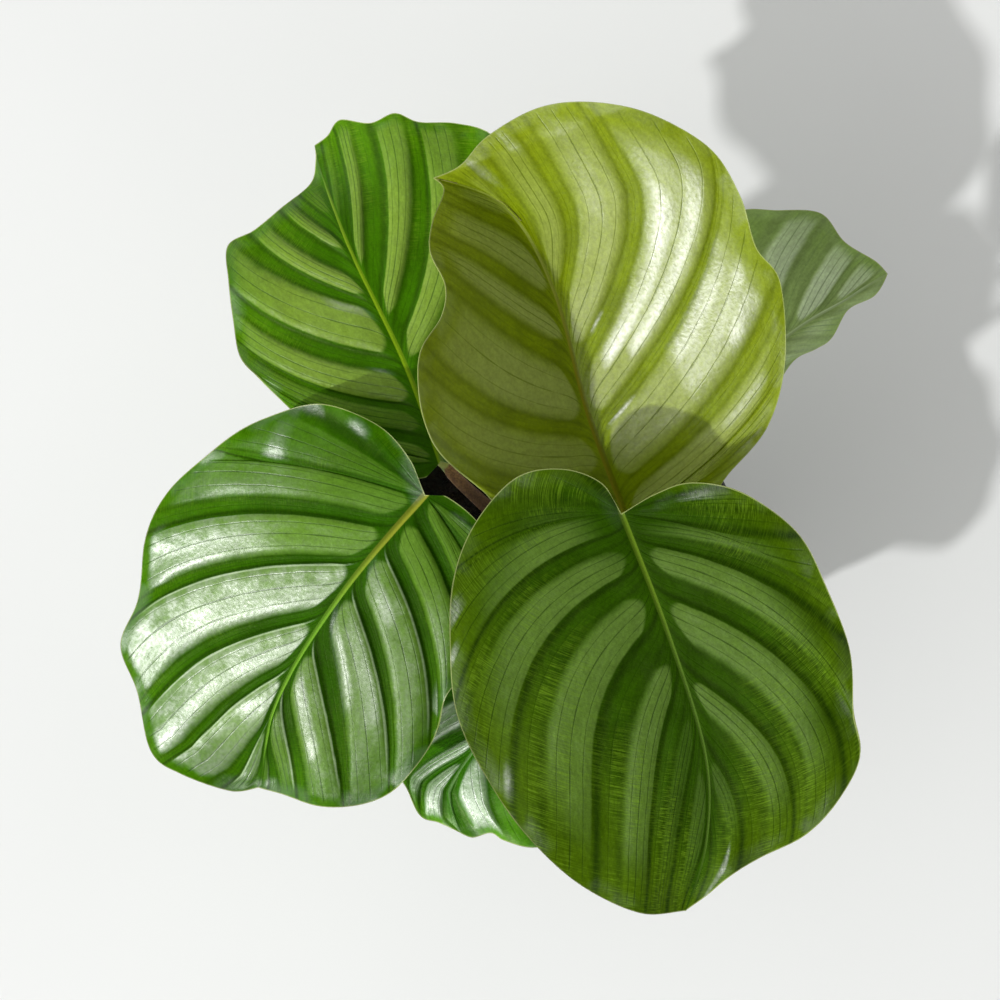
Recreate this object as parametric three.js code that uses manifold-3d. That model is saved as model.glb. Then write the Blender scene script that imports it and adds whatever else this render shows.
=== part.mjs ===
// Potted calathea: six broad, round, silver-banded leaves on upright stalks, in a tapered pot of dark soil.
// Millimetres, +Z up. The origin is the middle of the pot's underside, and -Y is the plant's front.
import * as THREE from 'three';
import * as BufferGeometryUtils from 'three/addons/utils/BufferGeometryUtils.js';
import Module from 'manifold-3d';

const wasm = await Module();
wasm.setup();

// ---------------------------------------------------------------- driving dimensions

const GAP = 0.35; // clearance between pieces that touch
const ROUND = 50; // facets round the pot and the soil

const POT = {
  height: 130,
  rimRadius: 77.5,
  footRadius: 57,
  wall: 2.2,
  lipHeight: 15,
  lipStep: 1.6,
  edge: 0.8,
  drain: { count: 6, radius: 4.5, circle: 36, sides: 12 },
};

const SOIL = {
  top: 117,
  rings: 7,
  rough: 0.8, // how far the surface rises and falls
  heap: { height: 1.6, radius: 35 }, // the rise round the crown of the plant
  hole: { depth: 22, clearance: 0.7, sides: 14 },
};

const BLADE = {
  thickness: 0.8,
  keelAtBase: 1.5, // how far the midrib stands out of the lower face
  keelAtTip: 0.2,
  columns: 32, // veins drawn on each half, from the base notch round to the tip
  rows: 6, // steps along each vein, from the midrib to the margin
  foldSoftening: 4, // how far from the midrib the two halves start to slope
  curlReach: 60, // the distance from the midrib at which a half has come down by its curl
  beyondTip: 1.3, // the droop goes on to this share of the length, and no further
};

// seat is how far past the base notch the stalk meets the midrib, and taper how early it thins from its foot.
const STALK = { footRadius: 4.1, topRadius: 1.8, taper: 1.5, steps: 18, sides: 9, seat: 4 };

// The veins of one half leave the midrib one after the other. The first share of them starts at the base
// notch, as a fan that begins fanStart of the way round the margin. midribPower crowds the next ones towards
// the base, and tipShare keeps the last ones apart at the tip. bend is how far each vein bows outwards from a
// straight line, in degrees, from the first vein to the last, and reach how far along it the bow is.
const VEIN = {
  fan: 0.25,
  fanStart: 0.04,
  midribPower: 1.46,
  tipShare: 0.06,
  bend: [0, 23, 40, 20, 0],
  reach: 0.58,
};

// The pleats follow the veins, one to every step of the vein count. They and the margin wave fade out towards
// the base notch and the tip.
const RELIEF = { step: 0.15, skew: 0.8, wavePower: 3, fadeAtBase: 0.1, fadeAtTip: 0.12 };

// Each leaf lies over its own plane: u runs from the base notch to the tip, v to the left and h out of the
// upper face. base, heading, pitch and roll place that plane. droop is how far the blade falls over its
// length, fold the slopes of the left and right half beside the midrib, curl how far each half bends down
// towards its margin, and bumps are local rises [u, v, radius, height]. The wave runs along the margin. fan,
// sweep and bend set how the veins of the left and right half spread. foot is where the stalk leaves the
// soil, rise how straight it stands there, and approach where it comes from below the blade.
const LEAVES = {
  front: {
    base: [17, -1, 292], heading: -75, pitch: -6, roll: 0, length: 142,
    droop: 20, fold: [0.12, 0.16], curl: [4, 3], bumps: [[142, -12, 16, -8]],
    pleat: 0.9, pleatStart: 0.22, wave: { height: 1.2, count: 5, start: 0.5 },
    midrib: [[0, 0], [45, 5], [88, 7], [118, 0], [141, -12]],
    left: [[0, 0], [-3.5, 12.5], [-4, 26], [4, 42], [21, 56], [41, 61], [64, 64], [86, 60], [102, 59],
      [114, 49], [124, 34], [128, 17], [131, 5], [137, -4], [141, -12]],
    right: [[0, 0], [-12, -4], [-20, -16], [-21, -32], [-10, -49], [6, -61], [27, -68], [52, -72], [78, -67],
      [99, -59], [120, -46], [136, -28], [141, -12]],
    fan: [0.40, 0.42], sweep: [3.2, 4.6], bend: [0.7, 1.0],
    foot: [6, -12], rise: 95, approach: [-3, -15, -40], color: 0x2f5a12,
  },
  left: {
    base: [-52, 12, 246], heading: -125, pitch: -10, roll: 5, length: 128,
    droop: 10, fold: [0.0, 0.05], curl: [12, 3], bumps: [[128, 5, 18, -14]],
    pleat: 1.6, pleatStart: 0.16, wave: { height: 1.6, count: 6, start: 0.2 },
    midrib: [[0, 0], [45, -5], [90, -4], [129, 6]],
    left: [[0, 0], [-4, 6], [-3, 21], [5, 38], [22, 50], [40, 50], [55, 47], [70, 51], [85, 52], [98, 50],
      [109, 43], [118, 31], [125, 15], [129, 6]],
    right: [[0, 0], [-8, -13], [-11, -30], [-5, -52], [12, -67], [32, -76], [53, -82], [75, -79], [96, -69],
      [113, -65], [124, -51], [139, -33], [140, -20], [136, -2], [129, 6]],
    fan: [0.40, 0.40], sweep: [1.9, 1.7], bend: [0.5, 0.4],
    foot: [-14, 3], rise: 50, approach: [4, 2, -34], color: 0x3b7a1e,
  },
  back: {
    base: [23, 2, 238], heading: 112, pitch: 22, roll: 6, length: 150,
    droop: 4, fold: [0.75, 0.32], curl: [-3, 2], bumps: [],
    pleat: 0.9, pleatStart: 0.2, wave: { height: 1.0, count: 4, start: 0.3 },
    midrib: [[0, 0], [45, 0], [90, -4], [125, 1], [144, 22]],
    left: [[0, 0], [-2, 6], [-2, 16], [6, 32], [21, 44], [41, 51], [62, 62], [75, 64], [88, 61], [98, 55],
      [104, 43], [112, 37], [124, 37], [132, 31], [139, 21], [144, 22]],
    right: [[0, 0], [-7, -12], [-6, -26], [5, -38], [18, -57], [39, -71], [66, -78], [81, -74], [100, -75],
      [119, -71], [137, -56], [149, -38], [154, -20], [151, 0], [145, 12], [144, 22]],
    fan: [0.35, 0.30], sweep: [2.5, 2.2], bend: [0.5, 0.5],
    foot: [11, 9], rise: 50, approach: [-2, 8, -30], color: 0x93a83f,
  },
  back_left: {
    base: [-47, 29, 216], heading: 113, pitch: 4, roll: 0, length: 135,
    droop: 18, fold: [0.0, 0.15], curl: [5, 5], bumps: [[135, 3, 22, -16]],
    pleat: 1.1, pleatStart: 0.18, wave: { height: 1.6, count: 5, start: 0.0 },
    midrib: [[0, 0], [40, -2], [90, 0], [125, -2], [139, -4]],
    left: [[0, 0], [-3, 9], [7, 26], [24, 38], [44, 46], [56, 51], [68, 55], [83, 52], [97, 48], [111, 43],
      [113, 31], [117, 19], [124, 4], [133, -2], [139, -4]],
    right: [[0, 0], [-6, -10], [-4, -28], [10, -48], [34, -62], [60, -70], [88, -72], [110, -68], [121, -57],
      [127, -44], [134, -37], [135, -27], [143, -17], [140, -10], [139, -4]],
    fan: [0.4, 0.4], sweep: [1.25, 2.9], bend: [0.5, 0.7],
    foot: [-21, 15], rise: 35, approach: [3, -6, -28], color: 0x3f7d12,
  },
  right: {
    base: [40, 36, 190], heading: 36, pitch: 10, roll: 12, length: 115,
    droop: 14, fold: [0.0, -1.6], curl: [8, 4], bumps: [],
    pleat: 0.8, pleatStart: 0.2, wave: { height: 1.4, count: 5, start: 0.4 },
    midrib: [[0, 0], [60, 8], [95, 5], [112, 3]],
    left: [[0, 0], [-8, 8], [-8, 24], [6, 42], [28, 54], [52, 60], [70, 60], [82, 57], [91, 50], [105, 38],
      [106, 23], [111, 10], [112, 3]],
    right: [[0, 0], [-5, -6], [2, -14], [20, -18], [42, -12], [61, -3], [73, -5], [80, -5], [91, 1],
      [103, -1], [112, 3]],
    fan: [0.4, 0.4], sweep: [1.8, 1.0], bend: [0.6, 0.2],
    foot: [21, 19], rise: 25, approach: [-6, 8, -26], color: 0x4f6b3e,
  },
  low_front: {
    base: [-12.7, -21.5, 190.8], heading: -110, pitch: 6, roll: 0, length: 94,
    droop: 14, fold: [0.1, 0.05], curl: [6, 6], bumps: [[58, -36, 20, -16]],
    pleat: 1.2, pleatStart: 0.18, wave: { height: 1.6, count: 5, start: 0.1 },
    midrib: [[0, 0], [42, 3], [73, -4], [82, -3], [92, 5]],
    left: [[0, 0], [-6, 8], [-6, 22], [8, 38], [24, 48], [44, 53], [64, 52], [80, 45], [88, 33], [89, 22],
      [88, 16], [92, 10], [92, 5]],
    right: [[0, 0], [-5, -8], [-6, -20], [4, -34], [22, -45], [44, -49], [62, -44], [76, -34], [82, -22],
      [91, -12], [91, -4], [92, 5]],
    fan: [0.4, 0.4], sweep: [1.8, 1.8], bend: [0.6, 0.6],
    foot: [-6, -17], rise: 25, approach: [2, 6, -24], color: 0x44801c,
  },
};

const COLORS = { stalk: 0x7a8f3a, pot: 0x34352f, soil: 0x1c140f };
const ROUGHNESS = { leaf: 0.38, stalk: 0.55, pot: 0.55, soil: 0.95 };

// ---------------------------------------------------------------- shared helpers

const radians = THREE.MathUtils.degToRad;

function material(color, roughness) {
  return new THREE.MeshStandardMaterial({ color, roughness, metalness: 0 });
}

function namedMesh(name, geometry, meshMaterial) {
  const mesh = new THREE.Mesh(geometry, meshMaterial);
  mesh.name = name;
  return mesh;
}

function toSolid(geometry) {
  const bare = geometry.clone();
  bare.deleteAttribute('normal');
  bare.deleteAttribute('uv');
  const merged = BufferGeometryUtils.mergeVertices(bare, 1e-4);
  const vertProperties = new Float32Array(merged.attributes.position.array);
  const triVerts = new Uint32Array(merged.index.array);
  return new wasm.Manifold(new wasm.Mesh({ numProp: 3, vertProperties, triVerts }));
}

function toGeometry(solid) {
  const mesh = solid.getMesh();
  const geometry = new THREE.BufferGeometry();
  geometry.setAttribute('position', new THREE.BufferAttribute(new Float32Array(mesh.vertProperties), 3));
  geometry.setIndex(new THREE.BufferAttribute(new Uint32Array(mesh.triVerts), 1));
  geometry.computeVertexNormals();
  return geometry;
}

// Cuts upright round holes of one size, each at its own [x, y], out of a geometry.
function cutHoles(geometry, places, { radius, bottom, top, sides }) {
  let solid = toSolid(geometry);
  for (const [x, y] of places) {
    const plug = new THREE.CylinderGeometry(radius, radius, top - bottom, sides);
    plug.rotateX(Math.PI / 2);
    plug.translate(x, y, (top + bottom) / 2);
    solid = solid.subtract(toSolid(plug));
  }
  return toGeometry(solid);
}

// LatheGeometry turns about Y; this stands its axis up along Z.
function upright(geometry) {
  return geometry.rotateX(Math.PI / 2);
}

// ---------------------------------------------------------------- pot and soil

function potOuterRadius(z) {
  return POT.footRadius + (POT.rimRadius - POT.lipStep - POT.footRadius) * (z / POT.height);
}

function potInnerRadius(z) {
  return potOuterRadius(z) - POT.wall;
}

function makePot() {
  const lipBottom = POT.height - POT.lipHeight;
  const mouthRadius = potInnerRadius(POT.height);
  const profile = [
    [0, 0],
    [POT.footRadius - POT.edge, 0],
    [potOuterRadius(POT.edge), POT.edge],
    [potOuterRadius(lipBottom), lipBottom],
    [potOuterRadius(lipBottom) + POT.lipStep, lipBottom + POT.edge],
    [POT.rimRadius, POT.height - POT.edge],
    [POT.rimRadius - POT.edge, POT.height],
    [mouthRadius + POT.edge, POT.height],
    [mouthRadius, POT.height - POT.edge],
    [potInnerRadius(POT.wall), POT.wall],
    [0, POT.wall],
  ].map(([radius, z]) => new THREE.Vector2(radius, z));
  const body = upright(new THREE.LatheGeometry(profile, ROUND));
  const { count, radius, circle, sides } = POT.drain;
  const places = [];
  for (let i = 0; i < count; i += 1) {
    const angle = (i / count) * Math.PI * 2;
    places.push([circle * Math.cos(angle), circle * Math.sin(angle)]);
  }
  const drained = cutHoles(body, places, { radius, bottom: -POT.wall, top: 2 * POT.wall, sides });
  return namedMesh('pot', drained, material(COLORS.pot, ROUGHNESS.pot));
}

// The soil heaps up a little round the crown and rises and falls in two crossing ripples all over.
function soilHeight(x, y) {
  const ripples = Math.sin(x * 0.21 + 1) * Math.cos(y * 0.17) + 0.5 * Math.sin(x * 0.4 - y * 0.33);
  const heap = Math.exp(-(x * x + y * y) / SOIL.heap.radius ** 2);
  return SOIL.top + SOIL.rough * ripples + SOIL.heap.height * heap;
}

function makeSoil() {
  const bottom = POT.wall + GAP;
  const topRadius = potInnerRadius(SOIL.top) - GAP;
  const profile = [[0, bottom], [potInnerRadius(bottom) - GAP, bottom]];
  for (let i = 0; i <= SOIL.rings; i += 1) {
    profile.push([topRadius * (1 - i / SOIL.rings), SOIL.top]);
  }
  const points = profile.map(([radius, z]) => new THREE.Vector2(radius, z));
  const body = upright(new THREE.LatheGeometry(points, ROUND));
  const position = body.attributes.position;
  for (let i = 0; i < position.count; i += 1) {
    const x = position.getX(i);
    const y = position.getY(i);
    const inside = Math.hypot(x, y) < topRadius - 1;
    if (inside && position.getZ(i) > SOIL.top - 1) position.setZ(i, soilHeight(x, y));
  }
  const { depth, clearance, sides } = SOIL.hole;
  const feet = Object.values(LEAVES).map((leaf) => leaf.foot);
  const radius = STALK.footRadius + clearance;
  const hole = { radius, bottom: SOIL.top - depth, top: SOIL.top + depth, sides };
  return namedMesh('soil', cutHoles(body, feet, hole), material(COLORS.soil, ROUGHNESS.soil));
}

// ---------------------------------------------------------------- leaf blades

function spline(points) {
  return new THREE.SplineCurve(points.map(([u, v]) => new THREE.Vector2(u, v)));
}

// Where vein t leaves the midrib and where it meets the margin, as shares of their lengths.
function veinShares(leaf, side, t) {
  const fan = leaf.fan[side];
  if (t < VEIN.fan) return [0, VEIN.fanStart + ((fan - VEIN.fanStart) * t) / VEIN.fan];
  const along = ((t - VEIN.fan) / (1 - VEIN.fan)) ** VEIN.midribPower;
  const left = THREE.MathUtils.lerp((1 - along) ** leaf.sweep[side], 1 - along, VEIN.tipShare);
  return [along, fan + (1 - fan) * (1 - left)];
}

const bendCurve = spline(VEIN.bend.map((angle, i) => [i, angle]));

// How far vein t bows outwards, in radians, with the sign of its side.
function veinBend(leaf, side, t) {
  return radians(bendCurve.getPoint(t).y) * leaf.bend[side] * (side === 0 ? 1 : -1);
}

// The midrib's v at a given u, read from the points that the blade's midrib vertices use.
function midribAt(points, u) {
  if (u <= points[0].x) return points[0].y;
  for (let i = 1; i < points.length; i += 1) {
    const [a, b] = [points[i - 1], points[i]];
    if (u <= b.x) return a.y + ((b.y - a.y) * (u - a.x)) / (b.x - a.x);
  }
  return points[points.length - 1].y;
}

// The blade's height over its plane, without its pleats and margin wave.
function bladeHeight(leaf, midribPoints, u, v) {
  const along = THREE.MathUtils.clamp(u / leaf.length, 0, BLADE.beyondTip);
  const across = v - midribAt(midribPoints, u);
  const side = across > 0 ? 0 : 1;
  let height = -leaf.droop * along ** 2;
  height += leaf.fold[side] * (Math.hypot(across, BLADE.foldSoftening) - BLADE.foldSoftening);
  height -= leaf.curl[side] * (across / BLADE.curlReach) ** 2;
  for (const [bumpU, bumpV, radius, rise] of leaf.bumps) {
    height += rise * Math.exp(-((u - bumpU) ** 2 + (v - bumpV) ** 2) / radius ** 2);
  }
  return height;
}

function midribPointsOf(leaf) {
  const midrib = spline(leaf.midrib);
  const points = [];
  for (let i = 0; i <= BLADE.columns; i += 1) {
    const [along] = veinShares(leaf, 0, i / BLADE.columns);
    const point = midrib.getPointAt(along);
    if (points.length === 0 || point.x > points[points.length - 1].x) points.push(point);
  }
  return points;
}

// One vein, as a function from r (0 at the midrib, 1 at the margin) to [u, v]. It is drawn beside a
// straightened midrib, so it never crosses it.
function veinCurve(leaf, side, t, midrib, margin, midribPoints) {
  const [along, round] = veinShares(leaf, side, t);
  const start = new THREE.Vector2(midrib.getPointAt(along).x, 0);
  const end = margin.getPointAt(round);
  end.y -= midribAt(midribPoints, end.x);
  const bow = end.clone().sub(start).multiplyScalar(VEIN.reach);
  bow.rotateAround(new THREE.Vector2(), veinBend(leaf, side, t));
  const curve = new THREE.QuadraticBezierCurve(start, start.clone().add(bow), end);
  return (r) => {
    const { x, y } = curve.getPoint(r);
    return [x, y + midribAt(midribPoints, x)];
  };
}

// Pleats are highest at the middle of a vein's length, and the wave is highest at the margin.
function reliefHeight(leaf, side, t, r) {
  const [, round] = veinShares(leaf, side, t);
  const fold = Math.cos((2 * Math.PI * (t - leaf.pleatStart)) / RELIEF.step);
  const pleat = fold * Math.sin(Math.PI * r ** RELIEF.skew);
  const wave = Math.sin(2 * Math.PI * (leaf.wave.count * round + leaf.wave.start)) * r ** RELIEF.wavePower;
  const fade = Math.min(1, t / RELIEF.fadeAtBase, (1 - t) / RELIEF.fadeAtTip);
  return fade * (leaf.pleat * pleat + leaf.wave.height * wave);
}

// The grid of one blade: every vertex's place and, on the midrib, its share of the length, and the triangles
// of the upper face.
function bladeGrid(leaf) {
  const midrib = spline(leaf.midrib);
  const midribPoints = midribPointsOf(leaf);
  const vertices = [];
  const addVertex = (u, v, relief, along) => {
    vertices.push({ at: new THREE.Vector3(u, v, bladeHeight(leaf, midribPoints, u, v) + relief), along });
    return vertices.length - 1;
  };
  const spine = [];
  for (let i = 0; i <= BLADE.columns; i += 1) {
    const [along] = veinShares(leaf, 0, i / BLADE.columns);
    const { x, y } = midrib.getPointAt(along);
    spine.push(i > 0 && along === 0 ? spine[0] : addVertex(x, y, 0, along));
  }
  const triangles = [];
  const isFlat = ([a, b, c]) => a === b || b === c || c === a;
  const spread = (side, corners) => {
    if (isFlat(corners)) return Infinity;
    const [a, b, c] = corners.map((k) => vertices[k].at);
    return ((b.x - a.x) * (c.y - a.y) - (c.x - a.x) * (b.y - a.y)) * (side === 0 ? 1 : -1);
  };
  // Splits the cell a b c d along the diagonal that leaves the larger small triangle.
  const addCell = (side, a, b, c, d) => {
    const splits = [[[a, b, c], [a, c, d]], [[a, b, d], [b, c, d]]];
    const [one, other] = splits.map((pair) => Math.min(...pair.map((corners) => spread(side, corners))));
    for (const corners of one >= other ? splits[0] : splits[1]) {
      if (!isFlat(corners)) triangles.push(side === 0 ? corners : [...corners].reverse());
    }
  };
  for (const side of [0, 1]) {
    const margin = spline(side === 0 ? leaf.left : leaf.right);
    const columns = [];
    for (let i = 0; i <= BLADE.columns; i += 1) {
      const t = i / BLADE.columns;
      const column = [spine[i]];
      if (i < BLADE.columns) {
        const at = veinCurve(leaf, side, t, midrib, margin, midribPoints);
        for (let j = 1; j <= BLADE.rows; j += 1) {
          const r = j / BLADE.rows;
          column.push(addVertex(...at(r), reliefHeight(leaf, side, t, r), null));
        }
      } else {
        for (let j = 1; j <= BLADE.rows; j += 1) column.push(spine[i]);
      }
      columns.push(column);
    }
    for (let i = 0; i < BLADE.columns; i += 1) {
      for (let j = 0; j < BLADE.rows; j += 1) {
        addCell(side, columns[i][j], columns[i + 1][j], columns[i + 1][j + 1], columns[i][j + 1]);
      }
    }
  }
  return { vertices, triangles };
}

function vertexNormals(vertices, triangles) {
  const normals = vertices.map(() => new THREE.Vector3());
  for (const corners of triangles) {
    const [a, b, c] = corners.map((k) => vertices[k].at);
    const normal = b.clone().sub(a).cross(c.clone().sub(a));
    for (const k of corners) normals[k].add(normal);
  }
  return normals.map((normal) => normal.normalize());
}

// Gives the grid its thickness: the same triangles above and below, and a strip round the open edge.
function makeBladeGeometry(leaf) {
  const { vertices, triangles } = bladeGrid(leaf);
  const normals = vertexNormals(vertices, triangles);
  const half = BLADE.thickness / 2;
  const upper = vertices.map(({ at }, k) => at.clone().addScaledVector(normals[k], half));
  const lower = vertices.map(({ at, along }, k) => {
    const keel = along === null ? 0 : THREE.MathUtils.lerp(BLADE.keelAtBase, BLADE.keelAtTip, along);
    return at.clone().addScaledVector(normals[k], -half - keel);
  });
  const count = vertices.length;
  const faces = [];
  const edges = new Map();
  for (const [a, b, c] of triangles) {
    faces.push([a, b, c], [a + count, c + count, b + count]);
    for (const [p, q] of [[a, b], [b, c], [c, a]]) edges.set(`${p} ${q}`, [p, q]);
  }
  for (const [p, q] of edges.values()) {
    if (edges.has(`${q} ${p}`)) continue;
    faces.push([q, p, p + count], [q, p + count, q + count]);
  }
  const geometry = new THREE.BufferGeometry();
  const position = [...upper, ...lower].flatMap((point) => point.toArray());
  geometry.setAttribute('position', new THREE.Float32BufferAttribute(position, 3));
  geometry.setIndex(faces.flat());
  geometry.computeVertexNormals();
  return geometry;
}

function placeLikeLeaf(object, leaf) {
  object.position.set(...leaf.base);
  object.rotation.set(radians(leaf.roll), radians(-leaf.pitch), radians(leaf.heading), 'ZYX');
  object.updateMatrix();
  return object;
}

function makeBlade(name, leaf) {
  const mesh = namedMesh(`leaf_${name}`, makeBladeGeometry(leaf), material(leaf.color, ROUGHNESS.leaf));
  return placeLikeLeaf(mesh, leaf);
}

// ---------------------------------------------------------------- stalks

// Where the stalk ends, just under the blade's keel, and the direction straight up out of the blade there.
function stalkSeat(leaf) {
  const frame = placeLikeLeaf(new THREE.Object3D(), leaf);
  const midribPoints = midribPointsOf(leaf);
  const u = STALK.seat;
  const v = midribAt(midribPoints, u);
  const depth = BLADE.thickness / 2 + BLADE.keelAtBase;
  const at = new THREE.Vector3(u, v, bladeHeight(leaf, midribPoints, u, v) - depth);
  at.applyMatrix4(frame.matrix);
  const up = new THREE.Vector3(0, 0, 1).applyQuaternion(frame.quaternion);
  return { at, up };
}

function stalkPath(leaf) {
  const { at, up } = stalkSeat(leaf);
  const approach = new THREE.Vector3(...leaf.approach);
  const tilt = approach.clone().negate().angleTo(up);
  const end = at.addScaledVector(up, -GAP - STALK.topRadius * Math.sin(tilt));
  const [x, y] = leaf.foot;
  const bottom = new THREE.Vector3(x, y, SOIL.top - SOIL.hole.depth + GAP);
  const surface = new THREE.Vector3(x, y, SOIL.top + SOIL.heap.height);
  const rising = new THREE.Vector3(x, y, SOIL.top + leaf.rise);
  const path = new THREE.CurvePath();
  path.add(new THREE.LineCurve3(bottom, surface));
  path.add(new THREE.CubicBezierCurve3(surface, rising, end.clone().add(approach), end));
  return path;
}

// A closed cylinder, bent along the path and tapered from the soil up.
function makeStalk(name, leaf) {
  const path = stalkPath(leaf);
  const { footRadius, topRadius, taper, steps, sides } = STALK;
  const frames = path.computeFrenetFrames(steps, false);
  const geometry = new THREE.CylinderGeometry(1, 1, 1, sides, steps);
  geometry.deleteAttribute('normal');
  geometry.deleteAttribute('uv');
  const position = geometry.attributes.position;
  for (let i = 0; i < position.count; i += 1) {
    const step = Math.round((position.getY(i) + 0.5) * steps);
    const share = step / steps;
    const radius = topRadius + (footRadius - topRadius) * (1 - share) ** taper;
    const point = path.getPointAt(share);
    point.addScaledVector(frames.normals[step], position.getX(i) * radius);
    point.addScaledVector(frames.binormals[step], -position.getZ(i) * radius);
    position.setXYZ(i, point.x, point.y, point.z);
  }
  const merged = BufferGeometryUtils.mergeVertices(geometry, 1e-3);
  merged.computeVertexNormals();
  return namedMesh(`stalk_${name}`, merged, material(COLORS.stalk, ROUGHNESS.stalk));
}

// ---------------------------------------------------------------- the whole plant

const group = new THREE.Group();
group.add(makePot(), makeSoil());
for (const [name, leaf] of Object.entries(LEAVES)) {
  group.add(makeStalk(name, leaf), makeBlade(name, leaf));
}

export default group;
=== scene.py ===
# Potted calathea: the fine leaves, stalks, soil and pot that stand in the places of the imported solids.
# Leaf sizes are in millimetres over each leaf's own plane, with u along its midrib and v to its left.
# Every Blender mesh is in metres.
import math
from functools import partialmethod

import bmesh
import bpy
import numpy as np
from mathutils import Euler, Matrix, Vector


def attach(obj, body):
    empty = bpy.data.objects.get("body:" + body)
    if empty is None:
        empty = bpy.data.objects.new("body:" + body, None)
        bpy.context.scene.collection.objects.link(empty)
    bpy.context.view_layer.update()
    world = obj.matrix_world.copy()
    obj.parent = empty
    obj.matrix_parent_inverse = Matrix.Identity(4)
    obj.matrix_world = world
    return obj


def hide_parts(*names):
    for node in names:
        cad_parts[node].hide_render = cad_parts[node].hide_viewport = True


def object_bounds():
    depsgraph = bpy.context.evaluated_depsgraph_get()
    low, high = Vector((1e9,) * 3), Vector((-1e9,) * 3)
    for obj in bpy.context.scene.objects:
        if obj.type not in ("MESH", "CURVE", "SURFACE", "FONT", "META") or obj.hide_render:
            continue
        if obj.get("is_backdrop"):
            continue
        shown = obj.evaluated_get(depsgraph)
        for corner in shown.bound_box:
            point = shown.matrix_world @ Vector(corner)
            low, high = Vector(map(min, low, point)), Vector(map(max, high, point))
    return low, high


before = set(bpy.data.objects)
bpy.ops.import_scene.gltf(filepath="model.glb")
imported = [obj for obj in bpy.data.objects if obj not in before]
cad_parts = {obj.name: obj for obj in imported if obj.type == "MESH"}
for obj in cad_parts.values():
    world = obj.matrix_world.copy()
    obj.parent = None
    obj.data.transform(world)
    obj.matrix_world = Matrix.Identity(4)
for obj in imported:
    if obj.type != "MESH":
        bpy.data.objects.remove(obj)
cad_box = [list(corner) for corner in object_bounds()]

MM = 0.001

# -------------------- driving values

# The leaves' shapes are the ones of the solids. fold, curl, fan, sweep, bend, bands and crisp are given for
# the left half and then for the right one.
#   bumps: u, v, radius and rise of local bends. pleat: how high the bands stand
#   wave: height, count and start of the margin's waves. fan: the margin's share that the base's veins reach
#   sweep, bend: how fast the other veins move along the margin, and how far they bow
#   bend_spread: over how many mm the halves smooth out the turns of the midrib
#   foot, rise, approach, sheath: where the stalk stands, its first and last direction, its tan share
#   midrib, left, right: their points after the base, for the margins without the tip
#   bands: where one starts and ends along the vein count at the midrib, how silver it is, and how far both
#     ends have moved at the margin
#   silver_start, silver_margin: how far from the midrib and from the margin the silver sets in
#   crisp: a band's sharp edge, 1 its start and -1 its end. soft: how wide the other one fades
#   rib, rib_fade, rib_tail: the half width at base and tip, where the colour fades, how bright it is then
#   colors: the green between bands, the band, the vein lines and the midrib
#   striped, the left half's tone, rim_light: cross-striping, painted shade on the left half, a painted
#   highlight
#     along a pleat's sharp edge
#   gloss: specular level, roughness, the coat on the bands and between them, the left half's share of it
#   shine: the first and last band with the full coat, and the coat in patches along the margin
#   calm: before this part of the vein count, only the outer part of each half has its full coat
#   glints: strips of polish. The half (0 left), the middle along the vein count and the half width, the
#     start and end in mm from the midrib, and the coat
LEAF = dict(
    roll=0, bumps=[], fan=(0.4, 0.4), bend_spread=0, sheath=0.36, young=False,
    silver_start=2, silver_margin=(3, 8), crisp=(0, 0), soft=0.25, rib=(1, 0.4), rib_fade=(0.1, 0.5),
    rib_tail=1, left_painted_shade=1, rim_light=0, shine=(0, 9, 0.1), calm=(0, 0.1), glints=[],
)
LEAVES = {}
LEAVES["front"] = LEAF | dict(
    base=(17, -1, 292), heading=-75, pitch=-6, length=142,
    droop=20, fold=(0.12, 0.16), curl=(4, 3), bumps=[(142, -12, 16, -8), (131, 5, 7, 4)],
    pleat=0.5, wave=(1.2, 5, 0.5),
    midrib=[(45, 5), (88, 7), (118, 0), (141, -12)],
    left=[(-3.5, 12.5), (-4, 26), (4, 42), (21, 56), (41, 61), (64, 64), (86, 60), (102, 59), (114, 49),
          (124, 34), (128, 17), (131, 5), (137, -4)],
    right=[(-12, -4), (-20, -16), (-21, -32), (-10, -49), (6, -61), (27, -68), (52, -72), (78, -67),
           (99, -59), (120, -46), (136, -28)],
    fan=(0.4, 0.42), sweep=(3.2, 4.6), bend=(0.7, 1.0),
    foot=(6, -12), rise=95, approach=(-3, -15, -40),
    bands=([(0.1, 0.14, 0.35), (0.275, 0.345, 0.9, -0.09, -0.105), (0.378, 0.443, 1, -0.026, 0.018),
            (0.505, 0.575, 1, 0.008, 0), (0.65, 0.695, 0.9, -0.052, -0.062),
            (0.775, 0.82, 0.35, -0.075, -0.085), (0.88, 0.92, 0.15)],
           [(0.14, 0.19, 0.3), (0.205, 0.33), (0.382, 0.44, 1, -0.016, -0.004),
            (0.487, 0.545, 1, 0.007, 0.014), (0.607, 0.65, 0.9, 0.007, 0.014), (0.7, 0.735, 0.2),
            (0.765, 0.87, 0.35, 0.06, 0.02)]),
    silver_start=3.5, silver_margin=(8, 26), crisp=(1, -1), soft=0.35,
    rib=(1.1, 0.3), rib_tail=1.1,
    colors=(0x264600, 0x557229, 0x183400, 0x5E7A1C), margin_green=0x425E00, striped=0.6,
    gloss=(0.05, 0.42, 0.02, 0, 1), shine=(0, 9, 0.05),
    glints=[(0, 6.6, 0.14, 42, 50, 0.7), (0, 1.05, 0.15, 20, 32, 0.2), (1, 2.12, 0.05, 66, 72, 0.6),
            (1, 2.36, 0.04, 76, 80, 0.6), (1, 3.5, 0.05, 90, 98, 0.3)],
)
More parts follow.
